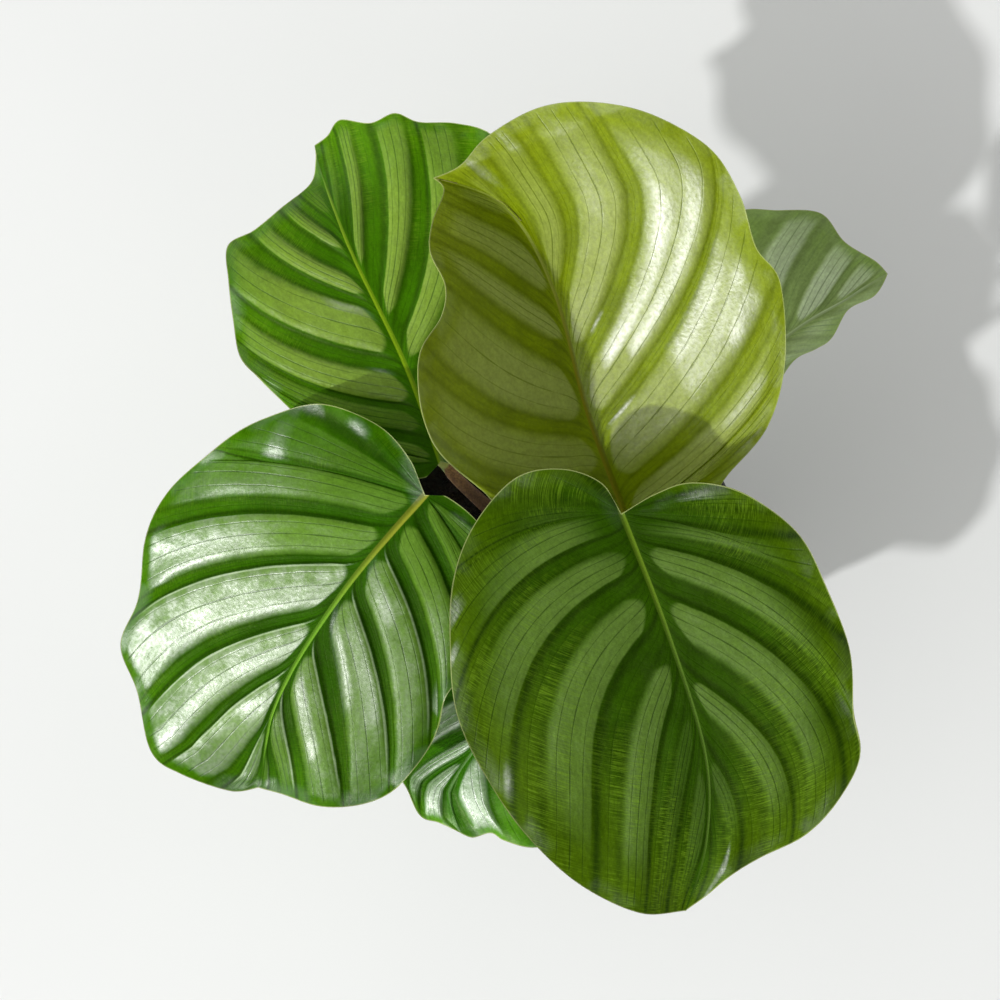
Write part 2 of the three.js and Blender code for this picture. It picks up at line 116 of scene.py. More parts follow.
LEAVES["left"] = LEAF | dict(
    base=(-52, 12, 246), heading=-125, pitch=-10, roll=5, length=128,
    droop=10, fold=(0, 0.05), curl=(12, 3), bumps=[(128, 5, 18, -14)],
    pleat=1.1, wave=(1.6, 6, 0.2),
    midrib=[(45, -5), (90, -4), (129, 6)],
    left=[(-4, 6), (-3, 21), (5, 38), (22, 50), (40, 50), (55, 47), (70, 51), (85, 52), (98, 50), (109, 43),
          (118, 31), (125, 15)],
    right=[(-8, -13), (-11, -30), (-5, -52), (12, -67), (32, -76), (53, -82), (75, -79), (96, -69),
           (113, -65), (124, -51), (139, -33), (140, -20), (136, -2)],
    sweep=(1.9, 1.7), bend=(0.5, 0.4),
    foot=(-14, 3), rise=50, approach=(4, 2, -34),
    bands=([(0.1, 0.17, 0.5), (0.22, 0.31, 0.8), (0.375, 0.455, 1, -0.035, 0.01),
            (0.495, 0.575, 1, 0.015, 0.025), (0.608, 0.675, 1, 0.005, 0.01), (0.735, 0.81, 1, -0.035, -0.04),
            (0.845, 0.905, 0.8, -0.03, -0.045), (0.93, 0.96, 0.4)],
           [(0.155, 0.235, 0.35, 0, -0.01), (0.3, 0.395, 0.7, -0.07, 0), (0.445, 0.53),
            (0.553, 0.655, 1, 0.02, 0.02), (0.69, 0.765, 1, 0.01, 0), (0.795, 0.875, 1, -0.015, -0.03),
            (0.89, 0.93, 0.6)]),
    silver_margin=(3.5, 8), crisp=(0.5, 1), soft=0.4,
    rib=(1.4, 0.4), rib_tail=1.9,
    colors=(0x285400, 0x618828, 0x1B3E00, 0x8E942C), margin_green=0x3C7000, striped=0.25,
    left_painted_shade=0.86, rim_light=0.7,
    gloss=(0.05, 0.36, 0.6, 0, 0.2), shine=(2.4, 9, 0.15), calm=(3.6, 4),
    glints=[(1, 1.35, 0.28, 57, 61, 0.7), (1, 0.81, 0.06, 33, 37, 0.5), (0, 5.44, 0.09, 4, 36, 0.5),
            (0, 6.3, 0.1, 6, 40, 0.45), (0, 4.3, 0.1, 4, 24, 0.45), (0, 5.15, 0.14, 8, 50, 0.3)],
)
LEAVES["back"] = LEAF | dict(
    base=(23, 2, 238), heading=112, pitch=22, roll=6, length=150, young=True,
    droop=4, fold=(0.75, 0.32), curl=(-3, 2),
    pleat=0.6, wave=(1.0, 4, 0.3),
    midrib=[(45, 0), (90, -4), (125, 1), (144, 22)],
    left=[(-2, 6), (-2, 16), (6, 32), (21, 44), (41, 51), (62, 62), (75, 64), (88, 61), (98, 55), (104, 43),
          (112, 37), (124, 37), (132, 31), (139, 21)],
    right=[(-7, -12), (-6, -26), (5, -38), (18, -57), (39, -71), (66, -78), (81, -74), (100, -75),
           (119, -71), (137, -56), (149, -38), (154, -20), (151, 0), (145, 12)],
    fan=(0.35, 0.3), sweep=(2.5, 2.2), bend=(0.5, 0.5), bend_spread=20,
    foot=(11, 9), rise=50, approach=(-2, 8, -30),
    bands=([(0.12, 0.2, 0.7), (0.29, 0.38, 0.8), (0.455, 0.525, 0.7), (0.56, 0.64),
            (0.69, 0.725, 1, 0.005, 0), (0.76, 0.825, 0.8), (0.88, 0.92, 0.4)],
           [(0.08, 0.15, 0.6), (0.215, 0.28, 0.7), (0.29, 0.365), (0.41, 0.518, 1, 0, 0.01),
            (0.553, 0.625, 1, 0, 0.045), (0.668, 0.733, 1, 0.02, 0.01), (0.765, 0.81, 0.6, 0.01, 0.005),
            (0.87, 0.91, 0.3)]),
    silver_margin=(5, 12), soft=0.6,
    rib=(1.4, 0.4), rib_fade=(0.35, 0.85),
    colors=(0x839704, 0xA8B656, 0x5E7008, 0x847E10), margin_green=0x8FA11A, striped=0.15, left_painted_shade=0.78,
    gloss=(0.06, 0.34, 0.11, 0.03, 0.3), shine=(1.6, 6.2, 0.1),
    glints=[(1, 5.38, 0.095, 14, 76, 1), (1, 5.17, 0.075, 26, 95, 1), (1, 4.42, 0.09, 42, 80, 0.95),
            (1, 4.22, 0.08, 58, 86, 0.85), (1, 4.06, 0.07, 64, 84, 1), (1, 4.3, 0.3, 40, 84, 0.45),
            (1, 5.28, 0.24, 30, 90, 0.42), (1, 6.3, 0.15, 40, 80, 0.2), (1, 4.55, 0.05, 8, 18, 0.9),
            (1, 5.9, 0.05, 14, 18, 0.9), (1, 3.3, 0.1, 45, 70, 0.35), (1, 7.84, 0.12, 26, 34, 0.6),
            (1, 7.12, 0.1, 52, 60, 0.5)],
)
LEAVES["back_left"] = LEAF | dict(
    base=(-47, 29, 216), heading=113, pitch=4, length=135,
    droop=18, fold=(0, 0.15), curl=(5, 5), bumps=[(135, 3, 22, -16)],
    pleat=1.1, wave=(1.6, 5, 0),
    midrib=[(40, -2), (90, 0), (125, -2), (139, -4)],
    left=[(-3, 9), (7, 26), (24, 38), (44, 46), (56, 51), (68, 55), (83, 52), (97, 48), (111, 43),
          (113, 31), (117, 19), (124, 4), (133, -2)],
    right=[(-6, -10), (-4, -28), (10, -48), (34, -62), (60, -70), (88, -72), (110, -68), (121, -57),
           (127, -44), (134, -37), (135, -27), (143, -17), (140, -10)],
    sweep=(1.25, 2.9), bend=(0.5, 0.7),
    foot=(-21, 15), rise=35, approach=(3, -6, -28), sheath=0.78,
    bands=([(0.12, 0.2, 0.5), (0.26, 0.33, 0.5), (0.39, 0.45, 0.4), (0.475, 0.542),
            (0.59, 0.685, 1, 0.01, 0), (0.71, 0.745, 1, 0.025, 0.02), (0.798, 0.818, 0.8, 0.012, 0.012),
            (0.86, 0.89, 0.25)],
           [(0.14, 0.22, 0.6), (0.28, 0.36, 0.8), (0.42, 0.49), (0.56, 0.605),
            (0.655, 0.687, 1, -0.02, -0.003), (0.757, 0.785, 0.8, 0, 0.01), (0.85, 0.88, 0.2)]),
    silver_start=2.5, crisp=(0.5, -0.5), soft=0.3,
    rib=(1.2, 0.4), rib_fade=(0.5, 1), rib_tail=1.2,
    colors=(0x366600, 0x789632, 0x244E00, 0x86A81A), margin_green=0x487A00, striped=0.35,
    gloss=(0.09, 0.38, 0.06, 0, 1),
    glints=[(0, 5.44, 0.05, 6, 22, 0.6), (0, 4.55, 0.05, 8, 13, 0.5)],
)
LEAVES["right"] = LEAF | dict(
    base=(40, 36, 190), heading=36, pitch=10, roll=12, length=115,
    droop=14, fold=(0, -1.6), curl=(8, 4),
    pleat=0.8, wave=(1.4, 5, 0.4),
    midrib=[(60, 8), (95, 5), (112, 3)],
    left=[(-8, 8), (-8, 24), (6, 42), (28, 54), (52, 60), (70, 60), (82, 57), (91, 50), (105, 38),
          (106, 23), (111, 10)],
    right=[(-5, -6), (2, -14), (20, -18), (42, -12), (61, -3), (73, -5), (80, -5), (91, 1), (103, -1)],
    sweep=(1.8, 1.0), bend=(0.6, 0.2),
    foot=(21, 19), rise=25, approach=(-6, 8, -26),
    bands=([(0.14, 0.21, 0.6), (0.29, 0.38), (0.45, 0.54), (0.665, 0.72), (0.785, 0.84),
            (0.87, 0.93, 0.7)],
           [(0.15, 0.22, 0.5), (0.3, 0.38, 0.6), (0.46, 0.54, 0.5),
            (0.62, 0.7, 0.4), (0.78, 0.84, 0.2)]),
    rib_fade=(0.2, 0.8),
    colors=(0x94AE64, 0xCCDEB2, 0x66844E, 0xA0B45C), margin_green=0x84A44A, striped=0.2,
    gloss=(0.3, 0.4, 0.1, 0.05, 1),
)
LEAVES["low_front"] = LEAF | dict(
    base=(-12.7, -21.5, 190.8), heading=-110, pitch=6, length=94,
    droop=14, fold=(0.1, 0.05), curl=(6, 6), bumps=[(58, -36, 20, -16)],
    pleat=1.2, wave=(1.6, 5, 0.1),
    midrib=[(42, 3), (73, -4), (82, -3), (92, 5)],
    left=[(-6, 8), (-6, 22), (8, 38), (24, 48), (44, 53), (64, 52), (80, 45), (88, 33), (89, 22), (88, 16),
          (92, 10)],
    right=[(-5, -8), (-6, -20), (4, -34), (22, -45), (44, -49), (62, -44), (76, -34), (82, -22), (91, -12),
           (91, -4)],
    sweep=(1.8, 1.8), bend=(0.6, 0.6),
    foot=(-6, -17), rise=25, approach=(2, 6, -24),
    bands=([(0.14, 0.21, 0.6), (0.29, 0.38), (0.46, 0.55), (0.62, 0.7), (0.785, 0.875)],
           [(0.15, 0.22, 0.6), (0.3, 0.38), (0.46, 0.54), (0.61, 0.68), (0.745, 0.8),
            (0.825, 0.885)]),
    silver_start=1.5, silver_margin=(3, 6),
    rib_tail=1.2,
    colors=(0x347002, 0x78A060, 0x275202, 0x94A250), margin_green=0x4E8C02, striped=0.2,
    gloss=(0.15, 0.36, 0.75, 0.02, 1),
)

BLADE = dict(thickness=0.5, edge=0.3, thin_margin=4, keel_base=1.5, keel_tip=0.2, keel_width=0.9,
             softening=4, curl_reach=60, beyond_tip=1.3)
VEIN = dict(fan=0.25, fan_start=0.04, power=1.46, tip=0.06, bend=(0, 23, 40, 20, 0), reach=0.58,
            hook=0.03, hook_reach=2.5)
# The relief is 0 up to the first share of each pair and full from the second.
PLEAT = dict(steepness=2.4, from_midrib=(0, 0.16), from_margin=(0, 0.25), from_base=(0.05, 0.3))
ENDS = dict(base=(0, 0.1), tip=(0, 0.12))
CRINKLES = ((0.35, 9, 30), (0.15, 4, 40))
GROOVE = dict(depth=0.45, width=1.6)
GRID = dict(fan_columns=70, columns=160, rows=46, crowding=0.8)
VERTEX_VALUES = dict(vein=("phase", "reach", "run"), place=("edge", "rib", "silver"),
                     plan=("u", "v", "length"), weave=("level", "spacing", "glint"))

POT = dict(height=130, rim=77.5, foot=57, wall=2.2, lip=15, step=1.6, edge=0.8, corner=1.2, inner_corner=1.5,
           groove=[(46, 0), (48, 0.5), (52, 0.5), (54, 0)], levels=(30, 60, 90), sides=144, sharp_from=40,
           holes=6, hole=4.5, circle=36)
SOIL = dict(top=117, heap=1.6, heap_radius=35, clearance=0.35, edge_drop=1.2, ripple=0.8,
            lumps=((1.1, 5, 20), (0.7, 2, 50)), crumbs=420, crumb=(0.7, 1.6), rings=80, sides=220)
STALK = dict(foot=4.1, top=1.8, taper=1.5, seat=4, gap=0.35, depth=22, keel=1.5, into_keel=0.8, blade=0.8,
             joint=14, joint_swell=0.45, sheath_wall=0.35, sheath_rise=0.2, ridges=7, ridge=0.08,
             steps=90, sides=28)

LINES = dict(width=1.3, outer_at=0.62, faint=0.4, strength=0.65)
SHARP_EDGE = 0.07
TONES = dict(
    stripe=0x78A010, painted_pleat_highlight=0xC0D8A8, margin_line=0xB4BE78, light_through=0xA9C624,
    underside=0x8FA57C, keel=0xB9BF6A,
    stem=(0x5F7A22, 0x8A9A42), sheath=(0x68401A, 0xA0743E), sheath_painted_shade=0x2A1608, joint=0xA5AC52,
    soil=(0x080503, 0x1E140C), crumb=0x302216, pot=(0x2B2D28, 0x3D3F38), floor=(0xE6E7E6, 0xEAEBEA),
)
WAX = dict(tint=(0.85, 1.0, 0.4, 1.0), roughness=0.4, ior=4.0)

CAMERA = dict(at=(-0.0246, -0.0993, 1.0249), tilt=8, lens=77.76)
KEY = dict(toward=(-1.0, -0.72, 1), distance=3, angle=1.5, strength=1.9)
SOFTBOXES = (
    dict(toward=(-0.71, -0.445, 1), distance=1.8, width=1.6, height=0.9, power=8, gloss_only=False),
    dict(toward=(0.02, -0.577, 1), distance=1.8, width=0.7, height=0.5, power=14, gloss_only=True),
)
SKY = dict(overhead=0.48, around=1.4, from_height=0.45, to_height=0.78, toward=(-0.97, 0.25, 0),
           far_side=0.4, color=(1.0, 1.0, 0.985, 1.0))
FLOOR_HALF = 30.0


# -------------------- curves and noise

def smooth_curve(points, count):
    """count points of the smooth curve through the given ones, even in its parameter."""
    given = np.asarray(points, float)
    last = len(given) - 1
    place = np.linspace(0, last, count)
    i = np.minimum(place.astype(int), last - 1)
    w = (place - i)[:, None]
    a, b, c, d = (given[np.clip(i + k, 0, last)] for k in (-1, 0, 1, 2))
    start, end = (c - a) / 2, (d - b) / 2
    return ((2 * b - 2 * c + start + end) * w + 3 * c - 3 * b - 2 * start - end) * w * w + start * w + b


class Line:
    """A line through many points, read by the share of its length or by its first coordinate."""

    def __init__(self, points):
        self.points = np.asarray(points, float)
        steps = np.linalg.norm(np.diff(self.points, axis=0), axis=1)
        self.length = steps.sum()
        self.share = np.concatenate(([0], np.cumsum(steps))) / self.length

    def at(self, share):
        return np.stack([np.interp(share, self.share, axis) for axis in self.points.T], axis=-1)

    def v_at(self, u):
        return np.interp(u, self.points[:, 0], self.points[:, 1])


def fade(value, low, high):
    """0 up to low and 1 from high, smooth between them."""
    x = np.clip((value - low) / (high - low), 0, 1)
    return x * x * (3 - 2 * x)


def lattice_noise(x, y, seed, size=64):
    """Smooth random values from -1 to 1, one lattice cell to each unit."""
    table = np.random.default_rng(seed).uniform(-1, 1, (size, size))
    i, j = np.floor(x).astype(int), np.floor(y).astype(int)
    fx, fy = fade(x - i, 0, 1), fade(y - j, 0, 1)
    corner = lambda di, dj: table[(i + di) % size, (j + dj) % size]
    low = corner(0, 0) * (1 - fx) + corner(1, 0) * fx
    high = corner(0, 1) * (1 - fx) + corner(1, 1) * fx
    return low * (1 - fy) + high * fy


def layered_noise(layers, x, y, seeds):
    """The sum of lattice noises. A layer is its height, the size of its cells and their shift."""
    return sum(height * lattice_noise(x / size + shift, y / size + shift, seed)
               for (height, size, shift), seed in zip(layers, seeds))


# -------------------- shape of a blade

def midrib_line(leaf):
    return Line(smooth_curve([(0, 0), *leaf["midrib"]], 400))


def vein_shares(leaf, side, t):
    """Where vein t leaves the midrib and where it meets the margin, as shares of their lengths."""
    fan = leaf["fan"][side]
    in_fan = VEIN["fan_start"] + (fan - VEIN["fan_start"]) * t / VEIN["fan"]
    along = np.clip((t - VEIN["fan"]) / (1 - VEIN["fan"]), 0, 1) ** VEIN["power"]
    left = (1 - VEIN["tip"]) * (1 - along) ** leaf["sweep"][side] + VEIN["tip"] * (1 - along)
    return along, np.where(t < VEIN["fan"], in_fan, fan + (1 - fan) * (1 - left))


def vein_bend(leaf, side, t):
    """The angle by which vein t sets off towards the leaf's base or its tip."""
    bends = smooth_curve(list(enumerate(VEIN["bend"])), 200)
    angle = np.interp((len(VEIN["bend"]) - 1) * t, bends[:, 0], bends[:, 1])
    return np.radians(angle) * leaf["bend"][side] * (1 if side == 0 else -1)


def vein_points(leaf, side, midrib, margin, along, round_, t, r):
    """u, v and the distance across from the midrib, for veins that bow from the midrib to the margin."""
    start = midrib.at(along)
    start[..., 1] = 0
    end = margin.at(round_)
    end[..., 1] -= midrib.v_at(end[..., 0])
    reach_u, reach_v = np.moveaxis((end - start) * VEIN["reach"], -1, 0)
    angle = vein_bend(leaf, side, t)
    cos, sin = np.cos(angle), np.sin(angle)
    bow = start + np.stack([reach_u * cos - reach_v * sin, reach_u * sin + reach_v * cos], axis=-1)
    w = r[..., None]
    flat = start * (1 - w) ** 2 + 2 * bow * w * (1 - w) + end * w**2
    u, across = flat[..., 0], flat[..., 1]
    spread = leaf["bend_spread"] * np.linspace(-1, 1, 9)
    smoothed = lambda u: np.mean([midrib.v_at(u + offset) for offset in spread], axis=0)
    from_start, from_end = (midrib.v_at(p[..., 0]) - smoothed(p[..., 0]) for p in (start, end))
    return u, across + smoothed(u) + from_start * (1 - r) + from_end * r, across


def blade_height(leaf, midrib, u, v):
    """The blade's height over its plane, without its pleats, waves and creases."""
    across = v - midrib.v_at(u)
    fold, curl = (np.where(across > 0, *leaf[name]) for name in ("fold", "curl"))
    height = -leaf["droop"] * np.clip(u / leaf["length"], 0, BLADE["beyond_tip"]) ** 2
    height += fold * (np.hypot(across, BLADE["softening"]) - BLADE["softening"])
    height -= curl * (across / BLADE["curl_reach"]) ** 2
    for bump_u, bump_v, radius, rise in leaf["bumps"]:
        height += rise * np.exp(-((u - bump_u) ** 2 + (v - bump_v) ** 2) / radius**2)
    return height


def band_phase(bands, t, r):
    """Counts the bands: a whole number where one starts and half past it where it ends. Also how silver."""
    silvers = [(*band, 1)[2] for band in bands]
    moves = [band[3:] or (0, 0) for band in bands]
    starts = [band[0] + move[0] * r for band, move in zip(bands, moves)]
    ends = [band[1] + move[1] * r for band, move in zip(bands, moves)]
    phase, silver = np.zeros_like(t), np.full_like(t, silvers[0])
    edges = [np.zeros_like(t)]
    for start, end in zip(starts, ends):
        edges += [start, end]
    edges.append(np.ones_like(t))
    for k, (low, high) in enumerate(zip(edges, edges[1:])):
        inside = (t >= low) & (t <= high)
        phase = np.where(inside, 0.5 + 0.5 * k + 0.5 * (t - low) / (high - low), phase)
    middles = [0.5 * (start + end) for start, end in zip(starts, ends)]
    for one, other, low, high in zip(silvers, silvers[1:], middles, middles[1:]):
        silver = np.where(t > low, one + (other - one) * fade((t - low) / (high - low), 0.35, 0.65), silver)
    return phase, silver


def polish(leaf, side, phase, run):
    """The coat of the half's own strips of polish, 0 beside them."""
    glint = np.zeros_like(phase)
    for half, along, wide, near, far, coat in leaf["glints"]:
        if half == side:
            strip = coat * np.exp(-(((phase - along) / wide) ** 4))
            glint = np.maximum(glint, strip * fade(run, near - 4, near + 4) * fade(-run, -far - 4, 4 - far))
    return glint


def band_widths(u, v, run, phase):
    """How far a line square to the veins has moved along them, and how wide one band and gap are."""
    along_u, along_v = unit(np.gradient(u, axis=1), np.gradient(v, axis=1))
    to_next_u, to_next_v = np.gradient(u, axis=0), np.gradient(v, axis=0)
    forward = to_next_u * along_u + to_next_v * along_v
    sideways = to_next_u * along_v - to_next_v * along_u
    level = np.cumsum((forward - np.gradient(run, axis=0))[:, 8:-4].mean(axis=1))
    spacing = np.abs(sideways) / np.maximum(np.gradient(phase, axis=0), 1e-6)
    return run + level[:, None], np.clip(spacing, 0, 40)


def half_blade(leaf, side, midrib, t, r):
    """The u, v, height and surface values of one half, for every t and r of the grid."""
    margin_points = [(0, 0), *leaf["left" if side == 0 else "right"], leaf["midrib"][-1]]
    margin = Line(smooth_curve(margin_points, 600))
    along, round_ = vein_shares(leaf, side, t)
    u, v, across = vein_points(leaf, side, midrib, margin, along, round_, t, r)
    steps = np.hypot(np.diff(u, axis=1), np.diff(v, axis=1))
    run = np.concatenate([np.zeros_like(u[:, :1]), np.cumsum(steps, axis=1)], axis=1)
    edge = distance_to(margin.points, u, v)
    hook = VEIN["hook"] * np.exp(-run / VEIN["hook_reach"])
    phase, silver = band_phase(leaf["bands"][side], t + hook, r)
    level, spacing = band_widths(u, v, run, phase)
    height = blade_height(leaf, midrib, u, v)
    ends = np.minimum(fade(t, *ENDS["base"]), fade(1 - t, *ENDS["tip"]))
    steepness = PLEAT["steepness"]
    plateau = np.tanh(steepness * np.cos(2 * np.pi * (phase - 0.25))) / np.tanh(steepness)
    inside = fade(r, *PLEAT["from_midrib"]) * fade(1 - r, *PLEAT["from_margin"])
    height += leaf["pleat"] * plateau * silver * inside * ends * fade(t, *PLEAT["from_base"])
    wave_height, count, wave_start = leaf["wave"]
    height += wave_height * np.sin(2 * np.pi * (count * round_ + wave_start)) * r**3 * ends
    seed = round(leaf["base"][2]) + side
    crinkle = layered_noise(CRINKLES, u, v, (seed, seed))
    height += crinkle * fade(edge, 0, 8) * fade(np.abs(across), 2, 12)
    length = np.clip(u / leaf["length"], 0, 1)
    rib_base, rib_tip = leaf["rib"]
    rib = across / (rib_base + (rib_tip - rib_base) * length)
    height -= GROOVE["depth"] * np.exp(-((rib / GROOVE["width"]) ** 2)) * (1 - length)
    return dict(u=u, v=v, height=height, phase=phase, silver=silver, reach=r, edge=edge, rib=rib, run=run,
                length=length, level=level, spacing=spacing, glint=polish(leaf, side, phase, run))


def unit(x, y):
    size = np.maximum(np.hypot(x, y), 1e-9)
    return x / size, y / size


def distance_to(points, u, v):
    """How far each u, v is from the nearest of a line's points."""
    nearest = np.full(u.shape, np.inf)
    for chunk in np.array_split(points, 20):
        far = np.hypot(u[..., None] - chunk[:, 0], v[..., None] - chunk[:, 1])
        nearest = np.minimum(nearest, far.min(axis=-1))
    return nearest


def leaf_matrix(leaf):
    turn = Euler([math.radians(a) for a in (leaf["roll"], -leaf["pitch"], leaf["heading"])], "XYZ")
    return np.array(turn.to_matrix())


def blade_grid(leaf):
    """Every vertex of the blade's middle layer with its values, the quads between them, and both rims."""
    midrib = midrib_line(leaf)
    fan = np.linspace(0, VEIN["fan"], GRID["fan_columns"], endpoint=False)
    columns = np.concatenate([fan, np.linspace(VEIN["fan"], 1, GRID["columns"] + 1)])
    even = np.linspace(0, 1, GRID["rows"] + 1)
    rows = even - GRID["crowding"] * np.sin(2 * np.pi * even) / (2 * np.pi)
    t, r = np.meshgrid(columns, rows, indexing="ij")
    halves = [half_blade(leaf, side, midrib, t, r) for side in (0, 1)]
    ids = [side * t.size + np.arange(t.size).reshape(t.shape) for side in (0, 1)]
    ids[1][:, 0] = ids[0][:, 0]
    for half in ids:
        half[: GRID["fan_columns"] + 1, 0] = ids[0][0, 0]
        half[-1, :] = ids[0][-1, 0]
    values = {name: np.concatenate([half[name].ravel() for half in halves]) for name in halves[0]}
    quads = []
    for side, half in enumerate(ids):
        a, b, c, d = half[:-1, :-1], half[1:, :-1], half[1:, 1:], half[:-1, 1:]
        order = (a, b, c, d) if side == 0 else (d, c, b, a)
        quads.append(np.stack([corner.ravel() for corner in order], axis=1))
    rims = [np.concatenate([half[0, :-1], half[:, -1]]) for half in ids]
    return values, np.concatenate(quads), rims


def compact(points, quads, rims, values):
    """Drops the vertices that no face uses."""
    used = np.unique(quads)
    place = np.full(len(points), -1)
    place[used] = np.arange(len(used))
    return points[used], place[quads], [place[rim] for rim in rims], {k: v[used] for k, v in values.items()}


def grid_normals(points, quads):
    normals = np.zeros_like(points)
    across = np.cross(points[quads[:, 2]] - points[quads[:, 0]], points[quads[:, 3]] - points[quads[:, 1]])
    for k in range(4):
        np.add.at(normals, quads[:, k], across)
    return normals / np.maximum(np.linalg.norm(normals, axis=1, keepdims=True), 1e-12)


def without_repeats(face):
    kept = [a for a, b in zip(face, face[1:] + face[:1]) if a != b]
    return kept if len(kept) > 2 else None


def blade_faces(quads, rims, count):
    """The upper face, the lower face count vertices further on, and the strips between them at the rims."""
    faces, kinds = [], []
    for face in quads.tolist():
        kept = without_repeats(face)
        if kept:
            faces += [kept, [k + count for k in reversed(kept)]]
            kinds += [0, 1]
    for side, rim in enumerate(rims):
        for a, b in zip(rim[:-1].tolist(), rim[1:].tolist()):
            if a != b:
                strip = [a, b, b + count, a + count]
                faces.append(strip if side == 1 else strip[::-1])
                kinds.append(0)
    return faces, kinds


def make_mesh(name, points, faces, kinds=None, attributes=None):
    """A smooth mesh object from points in metres, with a material index to each face."""
    mesh = bpy.data.meshes.new(name)
    mesh.from_pydata(np.asarray(points).tolist(), [], faces)
    if kinds is not None:
        mesh.polygons.foreach_set("material_index", np.asarray(kinds, np.int32))
    mesh.polygons.foreach_set("use_smooth", np.ones(len(mesh.polygons), bool))
    for key, vectors in (attributes or {}).items():
        layer = mesh.attributes.new(key, "FLOAT_VECTOR", "POINT")
        layer.data.foreach_set("vector", np.asarray(vectors, np.float32).ravel())
    mesh.validate()
    mesh.update()
    obj = bpy.data.objects.new(name, mesh)
    bpy.context.scene.collection.objects.link(obj)
    return obj


def make_blade(name, leaf):
    values, quads, rims = blade_grid(leaf)
    plan = np.stack([values["u"], values["v"], values["height"]], axis=1)
    points = plan @ leaf_matrix(leaf).T + np.array(leaf["base"])
    points, quads, rims, values = compact(points, quads, rims, values)
    normals = grid_normals(points, quads)
    inside = fade(values["edge"], 0, BLADE["thin_margin"])
    thick = BLADE["edge"] + (BLADE["thickness"] - BLADE["edge"]) * inside
    keel = BLADE["keel_base"] + (BLADE["keel_tip"] - BLADE["keel_base"]) * values["length"]
    keel = keel * np.exp(-((values["rib"] / BLADE["keel_width"]) ** 2))
    upper = points + normals * (thick / 2)[:, None]
    lower = points - normals * (thick / 2 + keel)[:, None]
    faces, kinds = blade_faces(quads, rims, len(points))
    attributes = {key: np.tile(np.stack([values[name] for name in names], axis=1), (2, 1))
                  for key, names in VERTEX_VALUES.items()}
    blade = make_mesh(f"blade_{name}", np.concatenate([upper, lower]) * MM, faces, kinds, attributes)
    blade.data.materials.append(leaf_material(name, leaf))
    blade.data.materials.append(underside_material(name, leaf))
    finish_piece(blade, f"leaf_{name}")


def finish_piece(piece, node):
    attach(piece, "root")
    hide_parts(node)


# -------------------- materials

def linear(color):
    """An 0xRRGGBB colour as Blender's linear red, green, blue and alpha."""
    channels = [(color >> shift & 255) / 255 for shift in (16, 8, 0)]
    return [c / 12.92 if c <= 0.04045 else ((c + 0.055) / 1.055) ** 2.4 for c in channels] + [1.0]


def shade(color, factor):
    return [c * factor for c in color[:3]] + [1.0]


def between(a, b, share):
    """The colour at this share of the way from a to b."""
    return [(1 - share) * x + share * y for x, y in zip(a, b)]


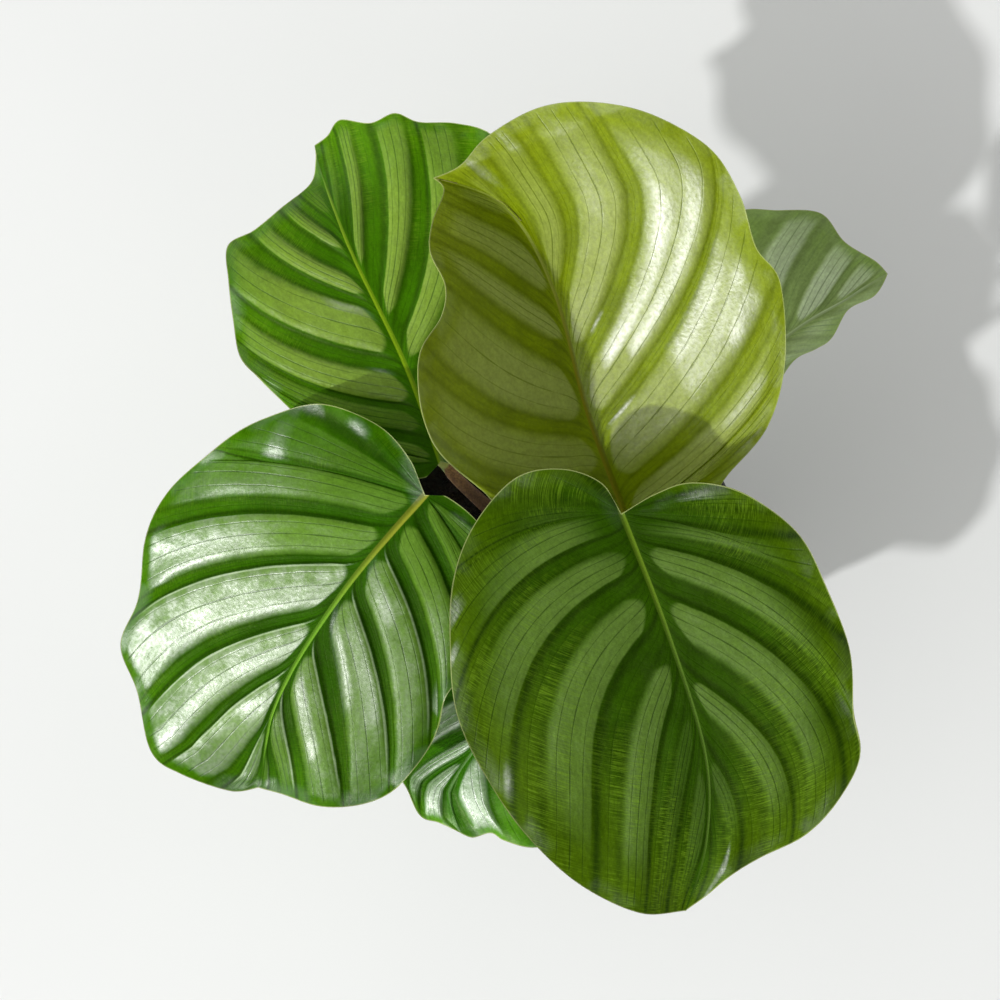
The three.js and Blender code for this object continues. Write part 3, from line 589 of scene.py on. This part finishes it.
class Nodes:
    """Builds the nodes of a material or of the world. Most methods add nodes and give their last output."""

    def __init__(self, name, kind="materials"):
        self.owner = getattr(bpy.data, kind).new(name)
        self.owner.use_nodes = True
        self.tree = self.owner.node_tree
        self.tree.nodes.clear()

    def fill(self, socket, value):
        if isinstance(value, bpy.types.NodeSocket):
            self.tree.links.new(value, socket)
        elif value is not None:
            socket.default_value = value

    def add(self, kind, settings=None, **inputs):
        node = self.tree.nodes.new("ShaderNode" + kind)
        for key, value in (settings or {}).items():
            setattr(node, key, value)
        for key, value in inputs.items():
            self.fill(node.inputs[key.replace("_", " ")], value)
        return node

    def math(self, operation, a, b=None, c=None):
        node = self.add("Math", {"operation": operation})
        for socket, value in zip(node.inputs, (a, b, c)):
            self.fill(socket, value)
        return node.outputs[0]

    def chain(self, operation, first, *others):
        for other in others:
            first = self.math(operation, first, other)
        return first

    times = partialmethod(chain, "MULTIPLY")
    plus = partialmethod(chain, "ADD")
    most = partialmethod(chain, "MAXIMUM")
    minus = partialmethod(math, "SUBTRACT")
    size = partialmethod(math, "ABSOLUTE")

    def step(self, value, low, high, start=0.0, end=1.0):
        """start up to low and end from high, smooth between them."""
        node = self.add("MapRange", {"interpolation_type": "SMOOTHSTEP"})
        for socket, given in zip(node.inputs, (value, low, high, start, end)):
            self.fill(socket, given)
        return node.outputs[0]

    def peak(self, value, middle, width):
        """1 where value is middle, falling to 0 at width away from it."""
        return self.step(self.size(self.minus(value, middle)), 0.0, width, 1.0, 0.0)

    def mix(self, share, a, b, blend="MIX"):
        node = self.add("Mix", {"data_type": "RGBA", "blend_type": blend})
        for index, value in ((0, share), (6, a), (7, b)):
            self.fill(node.inputs[index], value)
        return node.outputs[2]

    def dim(self, color, factor):
        return self.mix(1.0, color, self.join(factor, factor, factor), "MULTIPLY")

    def axes(self, vector):
        return self.add("SeparateXYZ", Vector=vector).outputs[:]

    def join(self, x, y, z=0.0):
        return self.add("CombineXYZ", X=x, Y=y, Z=z).outputs[0]

    def attribute(self, name):
        return self.axes(self.add("Attribute", {"attribute_name": name}).outputs["Vector"])

    def coordinates(self):
        return self.add("TexCoord").outputs["Object"]

    def noise(self, scale, detail=2.0, vector=None):
        node = self.add("TexNoise", Scale=scale, Detail=detail)
        self.fill(node.inputs["Vector"], vector or self.coordinates())
        return node.outputs["Fac"]

    def noise_along(self, detail, *axes):
        """Noise over some values, each with its own frequency."""
        return self.noise(1.0, detail, self.join(*[self.times(value, rate) for value, rate in axes]))

    def cells(self, scale):
        return self.add("TexVoronoi", Vector=self.coordinates(), Scale=scale).outputs["Distance"]

    def bump(self, height, distance):
        return self.add("Bump", Height=height, Distance=distance, Strength=1.0).outputs[0]

    def principled(self, settings):
        node = self.tree.nodes.new("ShaderNodeBsdfPrincipled")
        for key, value in settings.items():
            self.fill(node.inputs[key], value)
        return node.outputs[0]

    def output(self, shader):
        self.add("OutputMaterial", Surface=shader)
        return self.owner

    def lit_through(self, skin, color, share, normal=None):
        """The finished material of a thin leaf: its skin, and the light that comes through it."""
        through = self.add("BsdfTranslucent", Color=color)
        self.fill(through.inputs["Normal"], normal)
        blend = self.add("MixShader", Fac=share)
        self.fill(blend.inputs[1], skin)
        self.fill(blend.inputs[2], through.outputs[0])
        return self.output(blend.outputs[0])


class BladeNodes(Nodes):
    """Nodes for one face of a blade, with the values of its vertices. s is 0 along a band's middle, 1 along
    its edges and 2 halfway to the next band."""

    def __init__(self, name):
        super().__init__(name)
        self.phase, self.reach, self.run = self.attribute("vein")
        self.edge, self.rib, self.silver_share = self.attribute("place")
        self.wrapped = self.math("FRACT", self.plus(self.phase, 0.25))
        self.s = self.times(self.size(self.minus(self.wrapped, 0.5)), 4)
        self.off_rib = self.size(self.rib)


def band_share(n, leaf, feather, sharp):
    """How silver the upper face is, from each band's soft and sharp edge to the ends of the veins."""
    uneven = n.times(n.minus(feather, 0.5), 0.3)
    soft = n.math("MULTIPLY_ADD", sharp, SHARP_EDGE - leaf["soft"], leaf["soft"])
    across = n.plus(n.s, n.times(uneven, n.step(sharp, 0, 1, 1, 0.3)))
    rounded = n.minus(n.run, n.times(n.s, n.s, 4))
    start = leaf["silver_start"]
    return n.times(n.step(across, n.minus(1, soft), n.plus(1, soft), 1, 0), n.silver_share,
                   n.step(n.plus(n.edge, n.times(feather, 4)), *leaf["silver_margin"]),
                   n.step(n.plus(rounded, uneven), start, start + 2.5))


def line_share(n, feather, broad, spacing):
    """The dark vein lines: along each band's middle and edges, and faintly between the bands."""
    s = n.plus(n.s, n.times(n.minus(feather, 0.5), 0.08))
    thin = n.math("MINIMUM", n.math("DIVIDE", LINES["width"], n.most(spacing, 1)), 0.3)
    outer = n.times(n.peak(s, LINES["outer_at"], thin), n.step(broad, 0.3, 0.6, 0.35, 0.8))
    lines = n.most(outer, n.peak(s, 0, thin), n.times(n.peak(s, 2, thin), LINES["faint"]))
    return n.times(lines, n.step(n.edge, 0.8, 3), n.step(n.off_rib, 1, 1.8), n.step(spacing, 3, 9))


def banded_color(n, leaf, silver, sharp, broad):
    """The green between the bands, darker beside them and yellower outward, and the silver on them."""
    green, silver_color, *_ = map(linear, leaf["colors"])
    outer_green = linear(leaf["margin_green"])
    outward = n.times(n.step(n.reach, 0.35, 1), n.step(broad, 0.2, 0.6, 0.5, 1))
    dark_gap = n.times(n.peak(n.s, 1.3, 0.45), n.step(sharp, 0, 1, 0.5, 0.9))
    base = n.mix(n.step(broad, 0.3, 0.7), shade(green, 0.82), shade(green, 1.2))
    base = n.mix(dark_gap, n.mix(outward, base, outer_green), shade(green, 0.55))
    outer_silver = between(silver_color, outer_green, 0.5)
    return n.mix(silver, base, n.mix(n.step(n.reach, 0.45, 1), silver_color, outer_silver))


def pleat_light(n, strength, sharp, spacing):
    """A painted highlight: a pale line along the sharp edge of a pleat."""
    width = n.math("DIVIDE", 2.16, n.most(spacing, 3))
    return n.times(n.peak(n.s, 0.95, width), strength, sharp, n.step(n.reach, 0.75, 0.95, 1, 0),
                   n.step(n.phase, 3, 4), n.step(spacing, 4, 9), n.step(n.reach, 0.02, 0.09))


def with_midrib(n, leaf, base, length):
    """Adds the midrib, with its shaded side, which fades towards the tip, and the cream margin line."""
    green, silver_color, _, rib_color = map(linear, leaf["colors"])
    tail = shade(between(silver_color, green, 0.3), leaf["rib_tail"])
    tone = n.mix(n.step(length, *leaf["rib_fade"]), rib_color, tail)
    tone = n.mix(n.step(n.rib, -0.6, 0.6), n.mix(0.55, tone, shade(green, 0.6)), tone)
    on_rib = n.times(n.step(n.off_rib, 0.75, 1.15, 1, 0), n.step(length, 0.8, 0.98, 1, 0.15))
    return n.mix(n.step(n.edge, 0.2, 0.45, 0.6, 0), n.mix(on_rib, base, tone), linear(TONES["margin_line"]))


def wax_coat(n, leaf, silver, sharp, glint, plan, crinkle):
    """The waxy coat: on the bands and less between them, in patches, and full on the strips of polish."""
    _, _, band_coat, gap_coat, left_share = leaf["gloss"]
    first, last, margin_coat = leaf["shine"]
    calm = n.most(n.step(n.phase, *leaf["calm"]), n.step(n.reach, 0.3, 0.6, 0.1, 1))
    mottled = n.step(n.noise(170, 3, plan), 0.4, 0.6, 0.45, 1)
    coat = n.times(n.step(silver, 0, 0.9, gap_coat, band_coat), n.step(n.rib, -3, 3, 1, left_share),
                   n.step(n.phase, first - 0.4, first + 0.8, 0.2, 1),
                   n.step(n.phase, last, last + 0.8, 1, 0.2), calm,
                   n.most(mottled, n.step(sharp, 0, 1, 1, 0.2)))
    strips = n.noise_along(1, (n.phase, 6), (n.run, 0.03))
    coat = n.times(n.most(coat, glint), n.step(strips, 0.35, 0.6, 0.6, 1),
                   n.step(crinkle, 0.3, 0.65, 0.6, 1))
    spots = n.step(n.noise(55, 2, plan), 0.42, 0.55)
    return n.most(coat, n.times(spots, n.step(n.edge, 1.5, 7, margin_coat, 0)))


def leaf_material(name, leaf):
    """The upper face: silver bands with dark vein lines, a pale midrib and a cream margin line."""
    n = BladeNodes(f"leaf_{name}_upper")
    u, v, length = n.attribute("plan")
    level, spacing, glint = n.attribute("weave")
    plan = n.join(n.times(u, MM), n.times(v, MM))
    broad, fine, crinkle = n.noise(45, 3, plan), n.noise(900, 2, plan), n.noise(620, 4, plan)
    feather = n.noise_along(3, (n.phase, 3), (n.run, 0.12))
    streaks = n.noise_along(2, (n.phase, 3), (level, 3))
    fibres = n.noise_along(3, (n.phase, 18), (n.run, 0.25))
    crisp_left, crisp_right = leaf["crisp"]
    half_sign = n.step(n.rib, -0.5, 0.5, crisp_right, crisp_left)
    sharp = n.step(n.times(n.minus(0.5, n.wrapped), half_sign), -0.03, 0.08)
    silver = band_share(n, leaf, feather, sharp)
    lines = line_share(n, feather, broad, spacing)
    base = banded_color(n, leaf, silver, sharp, broad)
    patches = n.times(n.step(n.noise(32, 2, plan), 0.25, 0.6), n.step(n.reach, 0.1, 0.6),
                      n.step(sharp, 0, 1, 1, 0.45), leaf["striped"])
    stripe_color = between(linear(leaf["colors"][1]), linear(TONES["stripe"]), 0.6)
    base = n.mix(n.times(n.step(streaks, 0.42, 0.68), patches), base, stripe_color)
    # Painted highlight: a pale line along each pleat's sharp edge.
    base = n.mix(pleat_light(n, leaf["rim_light"], sharp, spacing), base, linear(TONES["painted_pleat_highlight"]))
    # Painted shade: the left half of the blade is darkened.
    base = n.dim(base, n.step(n.rib, -3, 3, 1, leaf["left_painted_shade"]))
    base = n.dim(base, n.times(n.step(fine, 0.3, 0.7, 0.92, 1.08), n.step(fibres, 0.3, 0.7, 0.9, 1.1)))
    base = n.mix(n.times(lines, LINES["strength"]), base, linear(leaf["colors"][2]))
    base = with_midrib(n, leaf, base, length)
    height = n.plus(n.times(crinkle, 1.2), n.times(lines, -0.8), n.times(streaks, leaf["striped"]),
                    n.times(n.plus(fine, fibres), 0.5))
    normal = n.bump(height, 0.00012)
    specular, rough, *_ = leaf["gloss"]
    roughness = n.plus(n.step(broad, 0.2, 0.8, rough - 0.04, rough + 0.04), n.times(silver, 0.05))
    coat = wax_coat(n, leaf, silver, sharp, glint, plan, crinkle)
    skin = n.principled({"Base Color": base, "Roughness": roughness, "Normal": normal, "Coat Weight": coat,
                         "Specular IOR Level": specular, "Specular Tint": WAX["tint"],
                         "Coat Roughness": WAX["roughness"], "Coat IOR": WAX["ior"], "Coat Normal": normal})
    glow = n.mix(0.55, base, linear(TONES["light_through"]))
    return n.lit_through(skin, glow, 0.22 if leaf["young"] else 0.1, normal)


def underside_material(name, leaf):
    """The lower face: paler and duller, with the bands showing through and a pale keel."""
    green, silver_color, _, rib_color = map(linear, leaf["colors"])
    n = BladeNodes(f"leaf_{name}_lower")
    pale = between(linear(TONES["underside"]), silver_color, 0.5)
    base = n.mix(n.step(n.s, 0.8, 1.3), pale, between(pale, green, 0.45))
    lines = n.most(*[n.peak(n.s, middle, 0.12) for middle in (0.86, 0, 2)])
    base = n.mix(n.times(lines, 0.4), base, shade(pale, 1.35))
    mottle = n.step(n.noise(160, 4), 0.3, 0.7, 0.85, 1.1)
    on_rib = n.step(n.off_rib, 1, 1.5, 1, 0)
    base = n.mix(on_rib, n.dim(base, mottle), between(rib_color, linear(TONES["keel"]), 0.5))
    height = n.plus(n.times(lines, 1.5), n.times(n.cells(2200), 0.8))
    skin = n.principled({"Base Color": base, "Roughness": n.step(mottle, 0.85, 1.1, 0.42, 0.52),
                         "Normal": n.bump(height, 0.00008), "Specular IOR Level": 0.4})
    glow = n.mix(0.5, base, linear(TONES["light_through"]))
    return n.lit_through(skin, glow, 0.22 if leaf["young"] else 0.12)


def plain_material(n, base, roughness, specular, normal=None):
    skin = {"Base Color": base, "Roughness": roughness, "Specular IOR Level": specular}
    return n.output(n.principled(skin | ({"Normal": normal} if normal else {})))


def toned(n, name, value, low, high):
    """The first of a pair of tones where value is up to low, the second from high."""
    return n.mix(n.step(value, low, high), *map(linear, TONES[name]))


def stalk_material():
    """Smooth olive green above, a papery tan sheath round the foot, darkened towards the soil by painted
    shade, and a pale joint under the blade.
    """
    n = Nodes("stalk")
    share, sheath, joint = n.attribute("stem")
    streak = n.noise_along(3, *zip(n.axes(n.coordinates()), (1500, 1500, 60)))
    stem = toned(n, "stem", streak, 0.3, 0.7)
    tan = toned(n, "sheath", streak, 0.3, 0.7)
    # Painted shade: the sheath darkens towards the soil.
    tan = n.mix(n.step(share, 0.6, 0.95, 0.7, 0), tan, linear(TONES["sheath_painted_shade"]))
    base = n.mix(joint, n.mix(sheath, stem, tan), linear(TONES["joint"]))
    return plain_material(n, base, n.step(sheath, 0, 1, 0.38, 0.62), 0.45, n.bump(streak, 0.00025))


def soil_material():
    """Damp dark peat, darkened further by painted shade, with paler crumbs and fibres."""
    n = Nodes("soil")
    coarse = n.noise(260, 6)
    crumbs = n.cells(420)
    # Painted shade: both peat tones are darker than the peat's own colour.
    base = toned(n, "soil", coarse, 0.35, 0.7)
    base = n.mix(n.step(crumbs, 0.05, 0.3, 0.45, 0), base, linear(TONES["crumb"]))
    normal = n.bump(n.plus(crumbs, coarse), 0.0012)
    return plain_material(n, base, n.step(coarse, 0.3, 0.7, 0.8, 0.95), 0.3, normal)


def pot_material():
    """Dark satin plastic with a fine grain, dusty in places."""
    n = Nodes("pot")
    dust = n.noise(35, 5)
    height = n.plus(n.noise(1800, 2), n.times(n.cells(900), 0.5))
    return plain_material(n, toned(n, "pot", dust, 0.35, 0.75), n.step(dust, 0.3, 0.7, 0.42, 0.6), 0.45,
                          n.bump(height, 0.00012))


def floor_material():
    n = Nodes("floor")
    return plain_material(n, toned(n, "floor", n.noise(3, 2), 0.3, 0.7), 0.55, 0.3)


# -------------------- stalks

def bezier(points, count):
    """count points of the cubic curve with those four control points."""
    a, b, c, d = (np.asarray(point, float) for point in points)
    w = np.linspace(0, 1, count)[:, None]
    return a * (1 - w) ** 3 + 3 * b * w * (1 - w) ** 2 + 3 * c * w**2 * (1 - w) + d * w**3


def stalk_path(leaf):
    """The stalk's middle line, from the foot of its hole to just under the blade."""
    turn = leaf_matrix(leaf)
    midrib = midrib_line(leaf)
    u, v = STALK["seat"], midrib.v_at(STALK["seat"])
    down = STALK["blade"] / 2 + STALK["keel"]
    seat = np.array([u, v, float(blade_height(leaf, midrib, np.array(u), np.array(v))) - down])
    at, up = turn @ seat + leaf["base"], turn[:, 2]
    approach = np.array(leaf["approach"], float)
    tilt = math.acos(np.dot(-approach, up) / np.linalg.norm(approach))
    end = at - up * (STALK["gap"] + STALK["top"] * math.sin(tilt))
    x, y = leaf["foot"]
    surface = (x, y, SOIL["top"] + SOIL["heap"])
    rising = (x, y, SOIL["top"] + leaf["rise"])
    line = bezier([surface, rising, end + approach, end], 200)
    bottom = np.array([[x, y, SOIL["top"] - STALK["depth"] + STALK["gap"]]])
    top = end + up * (STALK["gap"] + STALK["keel"] * STALK["into_keel"])
    return Line(np.concatenate([bottom, line, top[None]]))


def stalk_ring(leaf, share, left):
    """One ring of a stalk, left mm from its top: its angles, radii and vertex values."""
    angle = np.linspace(0, 2 * np.pi, STALK["sides"], endpoint=False)
    wound = np.abs(np.abs(angle - np.pi) / np.pi)
    sheath = fade(leaf["sheath"] + STALK["sheath_rise"] * wound - share, -0.012, 0.012)
    joint = fade(STALK["joint"] - left, 0, 3)
    radius = STALK["top"] + (STALK["foot"] - STALK["top"]) * (1 - share) ** STALK["taper"]
    bulge = math.sin(min(1.0, left / STALK["joint"]) * math.pi) ** 0.5
    radius = radius + STALK["sheath_wall"] * sheath + STALK["joint_swell"] * joint * bulge
    radius = radius + STALK["ridge"] * np.cos(STALK["ridges"] * angle) * (1 - joint)
    return angle, radius, np.stack([np.full_like(angle, share), sheath, np.full_like(angle, joint)], axis=1)


def make_stalk(name, leaf, material):
    """A tapered stem with its sheath, whose edge winds up round it, and the swollen joint at its top."""
    path = stalk_path(leaf)
    steps, sides = STALK["steps"], STALK["sides"]
    shares = np.linspace(0, 1, steps + 1)
    centres = path.at(shares)
    forward = np.gradient(centres, axis=0)
    forward /= np.linalg.norm(forward, axis=1, keepdims=True)
    outward = np.array([math.cos(leaf["heading"]), math.sin(leaf["heading"]), 0])
    rings, values = [], []
    for centre, ahead, share in zip(centres, forward, shares):
        outward = outward - ahead * np.dot(outward, ahead)
        outward /= np.linalg.norm(outward)
        sideways = np.cross(ahead, outward)
        angle, radius, ring_values = stalk_ring(leaf, share, (1 - share) * path.length)
        offsets = np.cos(angle)[:, None] * outward + np.sin(angle)[:, None] * sideways
        rings.append(centre + offsets * radius[:, None])
        values.append(ring_values)
    faces = ring_faces(steps + 1, sides)
    faces += [list(range(sides))[::-1], [steps * sides + k for k in range(sides)]]
    points = np.concatenate(rings) * MM
    stalk = make_mesh(f"stem_{name}", points, faces, None, {"stem": np.concatenate(values)})
    stalk.data.materials.append(material)
    finish_piece(stalk, f"stalk_{name}")


# -------------------- pot and soil

def outer_radius(z):
    return POT["foot"] + (POT["rim"] - POT["step"] - POT["foot"]) * z / POT["height"]


def ring_faces(rings, sides):
    """The quads between neighbouring rings of vertices."""
    faces = []
    for i in range(rings - 1):
        for k in range(sides):
            a, b = i * sides + k, i * sides + (k + 1) % sides
            faces.append([a, b, b + sides, a + sides])
    return faces


def lathe(profile, sides):
    """Turns a closed [radius, z] profile, which starts and ends on the axis, round Z."""
    rings = [p for p in profile if p[0] > 1e-6]
    angle = np.linspace(0, 2 * np.pi, sides, endpoint=False)
    points = [(r * math.cos(a), r * math.sin(a), z) for r, z in rings for a in angle]
    faces = ring_faces(len(rings), sides)
    last = (len(rings) - 1) * sides
    points += [(0, 0, profile[0][1]), (0, 0, profile[-1][1])]
    for k in range(sides):
        following = (k + 1) % sides
        faces.append([len(points) - 2, following, k])
        faces.append([len(points) - 1, last + k, last + following])
    return points, faces


def arc(centre, radius, start, end, steps=5):
    angles = np.radians(np.linspace(start, end, steps))
    return [(centre[0] + radius * math.cos(a), centre[1] + radius * math.sin(a)) for a in angles]


def pot_profile():
    """The pot's section: its underside with a shallow groove, outside, lip, inside and floor."""
    height, wall, edge, step = POT["height"], POT["wall"], POT["edge"], POT["step"]
    corner, inner_corner = POT["corner"], POT["inner_corner"]
    lip = height - POT["lip"]
    inner = lambda z: outer_radius(z) - wall
    bead = (POT["rim"] - inner(height)) / 2
    profile = [(0, 0), (20, 0), *POT["groove"]]
    profile += arc((POT["foot"] - corner, corner), corner, -90, 0)
    profile += [(outer_radius(z), z) for z in (6, *POT["levels"], lip - 1)]
    profile += [(outer_radius(lip) + 0.15, lip - 0.2)]
    profile += arc((outer_radius(lip) + step - edge, lip + edge), edge, -90, 0)
    profile += [(POT["rim"] - 0.25, height - 6), (POT["rim"] - 0.05, height - bead)]
    profile += arc((POT["rim"] - bead, height - bead), bead, 0, 180, 9)
    profile += [(inner(z), z) for z in (height - 8, *reversed(POT["levels"]), 4)]
    profile += arc((inner(wall) - inner_corner, wall + inner_corner), inner_corner, 0, -90, 4)
    return profile + [(40, wall), (0, wall)]


def make_pot():
    points, faces = lathe(pot_profile(), POT["sides"])
    pot = make_mesh("plant_pot", np.array(points) * MM, faces)
    for i in range(POT["holes"]):
        angle = 2 * math.pi * i / POT["holes"]
        at = (POT["circle"] * MM * math.cos(angle), POT["circle"] * MM * math.sin(angle), 0)
        bpy.ops.mesh.primitive_cylinder_add(vertices=32, radius=POT["hole"] * MM, depth=0.012, location=at)
        drill = bpy.context.object
        cut = pot.modifiers.new("drain", "BOOLEAN")
        cut.operation, cut.object, cut.solver = "DIFFERENCE", drill, "EXACT"
        bpy.context.view_layer.objects.active = pot
        bpy.ops.object.modifier_apply(modifier=cut.name)
        bpy.data.objects.remove(drill)
    pot.data.polygons.foreach_set("use_smooth", np.ones(len(pot.data.polygons), bool))
    pot.data.set_sharp_from_angle(angle=math.radians(POT["sharp_from"]))
    pot.data.materials.clear()
    pot.data.materials.append(pot_material())
    finish_piece(pot, "pot")


def soil_height(x, y):
    ripples = np.sin(x * 0.21 + 1) * np.cos(y * 0.17) + 0.5 * np.sin(x * 0.4 - y * 0.33)
    heap = np.exp(-(x * x + y * y) / SOIL["heap_radius"] ** 2)
    rough = layered_noise(SOIL["lumps"], x, y, (11, 12))
    return SOIL["top"] + SOIL["ripple"] * ripples + SOIL["heap"] * heap + rough


def soil_crumb(rng, shape, rim):
    """The points of one knobbly crumb, at a place and in a size of its own."""
    away, angle = rim * 0.97 * math.sqrt(rng.uniform()), rng.uniform(0, 2 * math.pi)
    x, y = away * math.cos(angle), away * math.sin(angle)
    size = rng.uniform(*SOIL["crumb"]) * (1 + 1.2 * rng.uniform() ** 4)
    squash = rng.uniform(0.6, 1.2, 3)
    knobs = 1 + 0.22 * np.sin(shape @ rng.uniform(-4, 4, (3, 1)) + rng.uniform(0, 6))
    spin = np.array(Euler(rng.uniform(0, 6, 3)).to_matrix())
    z = float(soil_height(np.array(x), np.array(y))) + 0.3 * size
    return (shape * knobs * squash * size) @ spin.T + np.array([x, y, z])


def make_soil():
    wall_gap = POT["wall"] + SOIL["clearance"]
    rim, top, rings = outer_radius(SOIL["top"]) - wall_gap, SOIL["top"], SOIL["rings"]
    profile = [(0, wall_gap), (outer_radius(wall_gap) - wall_gap, wall_gap), (rim, top - 1.5)]
    profile += [(rim * (1 - i / rings), top) for i in range(rings)] + [(0, top)]
    points, faces = lathe(profile, SOIL["sides"])
    points = np.array(points)
    on_top = points[:, 2] > top - 0.5
    x, y = points[:, 0], points[:, 1]
    level = soil_height(x, y) - SOIL["edge_drop"] * fade(np.hypot(x, y), rim - 3, rim)
    points[on_top, 2] = level[on_top]
    rng = np.random.default_rng(5)
    lump = bmesh.new()
    bmesh.ops.create_icosphere(lump, subdivisions=2, radius=1.0)
    shape = np.array([v.co[:] for v in lump.verts])
    lump_faces = np.array([[v.index for v in f.verts] for f in lump.faces])
    lump.free()
    crumbs = [soil_crumb(rng, shape, rim) for _ in range(SOIL["crumbs"])]
    for i in range(SOIL["crumbs"]):
        faces += (lump_faces + len(points) + i * len(shape)).tolist()
    soil = make_mesh("potting_mix", np.concatenate([points, *crumbs]) * MM, faces)
    soil.data.materials.append(soil_material())
    finish_piece(soil, "soil")


# -------------------- camera, light and floor

def make_camera():
    camera = bpy.data.objects.new("camera", bpy.data.cameras.new("camera"))
    camera.data.lens = CAMERA["lens"]
    camera.data.sensor_width = 36
    camera.location = CAMERA["at"]
    camera.rotation_euler = (math.radians(CAMERA["tilt"]), 0, 0)
    bpy.context.scene.collection.objects.link(camera)
    bpy.context.scene.camera = camera


def add_light(name, kind, toward, distance, aim=(0, 0, 0.2), **settings):
    light = bpy.data.lights.new(name, kind)
    for key, value in settings.items():
        setattr(light, key, value)
    obj = bpy.data.objects.new(name, light)
    direction = Vector(toward).normalized()
    obj.location = Vector(aim) + direction * distance
    obj.rotation_euler = direction.to_track_quat("Z", "Y").to_euler()
    bpy.context.scene.collection.objects.link(obj)
    return obj


def make_lights():
    add_light("key", "SUN", KEY["toward"], KEY["distance"], energy=KEY["strength"],
              angle=math.radians(KEY["angle"]))
    for i, box in enumerate(SOFTBOXES):
        light = add_light(f"softbox_{i}", "AREA", box["toward"], box["distance"], energy=box["power"],
                          shape="RECTANGLE", size=box["width"], size_y=box["height"])
        light.visible_diffuse = not box["gloss_only"]
    make_sky()
    bpy.context.scene.view_settings.view_transform = "Standard"


def make_sky():
    """A pale room, brighter on the light's side and dimmer overhead, so that level leaves stay deep."""
    n = Nodes("world", "worlds")
    direction = n.add("TexCoord").outputs["Generated"]
    side = n.add("VectorMath", {"operation": "DOT_PRODUCT"})
    n.fill(side.inputs[0], direction)
    n.fill(side.inputs[1], SKY["toward"])
    levels = (SKY[key] for key in ("from_height", "to_height", "around", "overhead"))
    by_height = n.step(n.axes(direction)[2], *levels)
    by_side = n.step(side.outputs["Value"], -1.0, 1.0, SKY["far_side"], 1.0)
    sky = n.add("Background", Color=SKY["color"], Strength=n.times(by_height, by_side))
    n.add("OutputWorld", Surface=sky.outputs[0])
    bpy.context.scene.world = n.owner


def make_floor():
    corners = [(x * FLOOR_HALF, y * FLOOR_HALF, 0) for x, y in ((-1, -1), (1, -1), (1, 1), (-1, 1))]
    floor = make_mesh("floor", corners, [[0, 1, 2, 3]])
    floor.data.materials.append(floor_material())
    floor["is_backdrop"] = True


make_camera()
make_lights()
make_floor()
make_pot()
make_soil()
stalk_skin = stalk_material()
for leaf_name, leaf_values in LEAVES.items():
    make_stalk(leaf_name, leaf_values, stalk_skin)
    make_blade(leaf_name, leaf_values)

bpy.context.view_layer.update()
{"cad": cad_box, "visual": [list(corner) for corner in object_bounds()]}
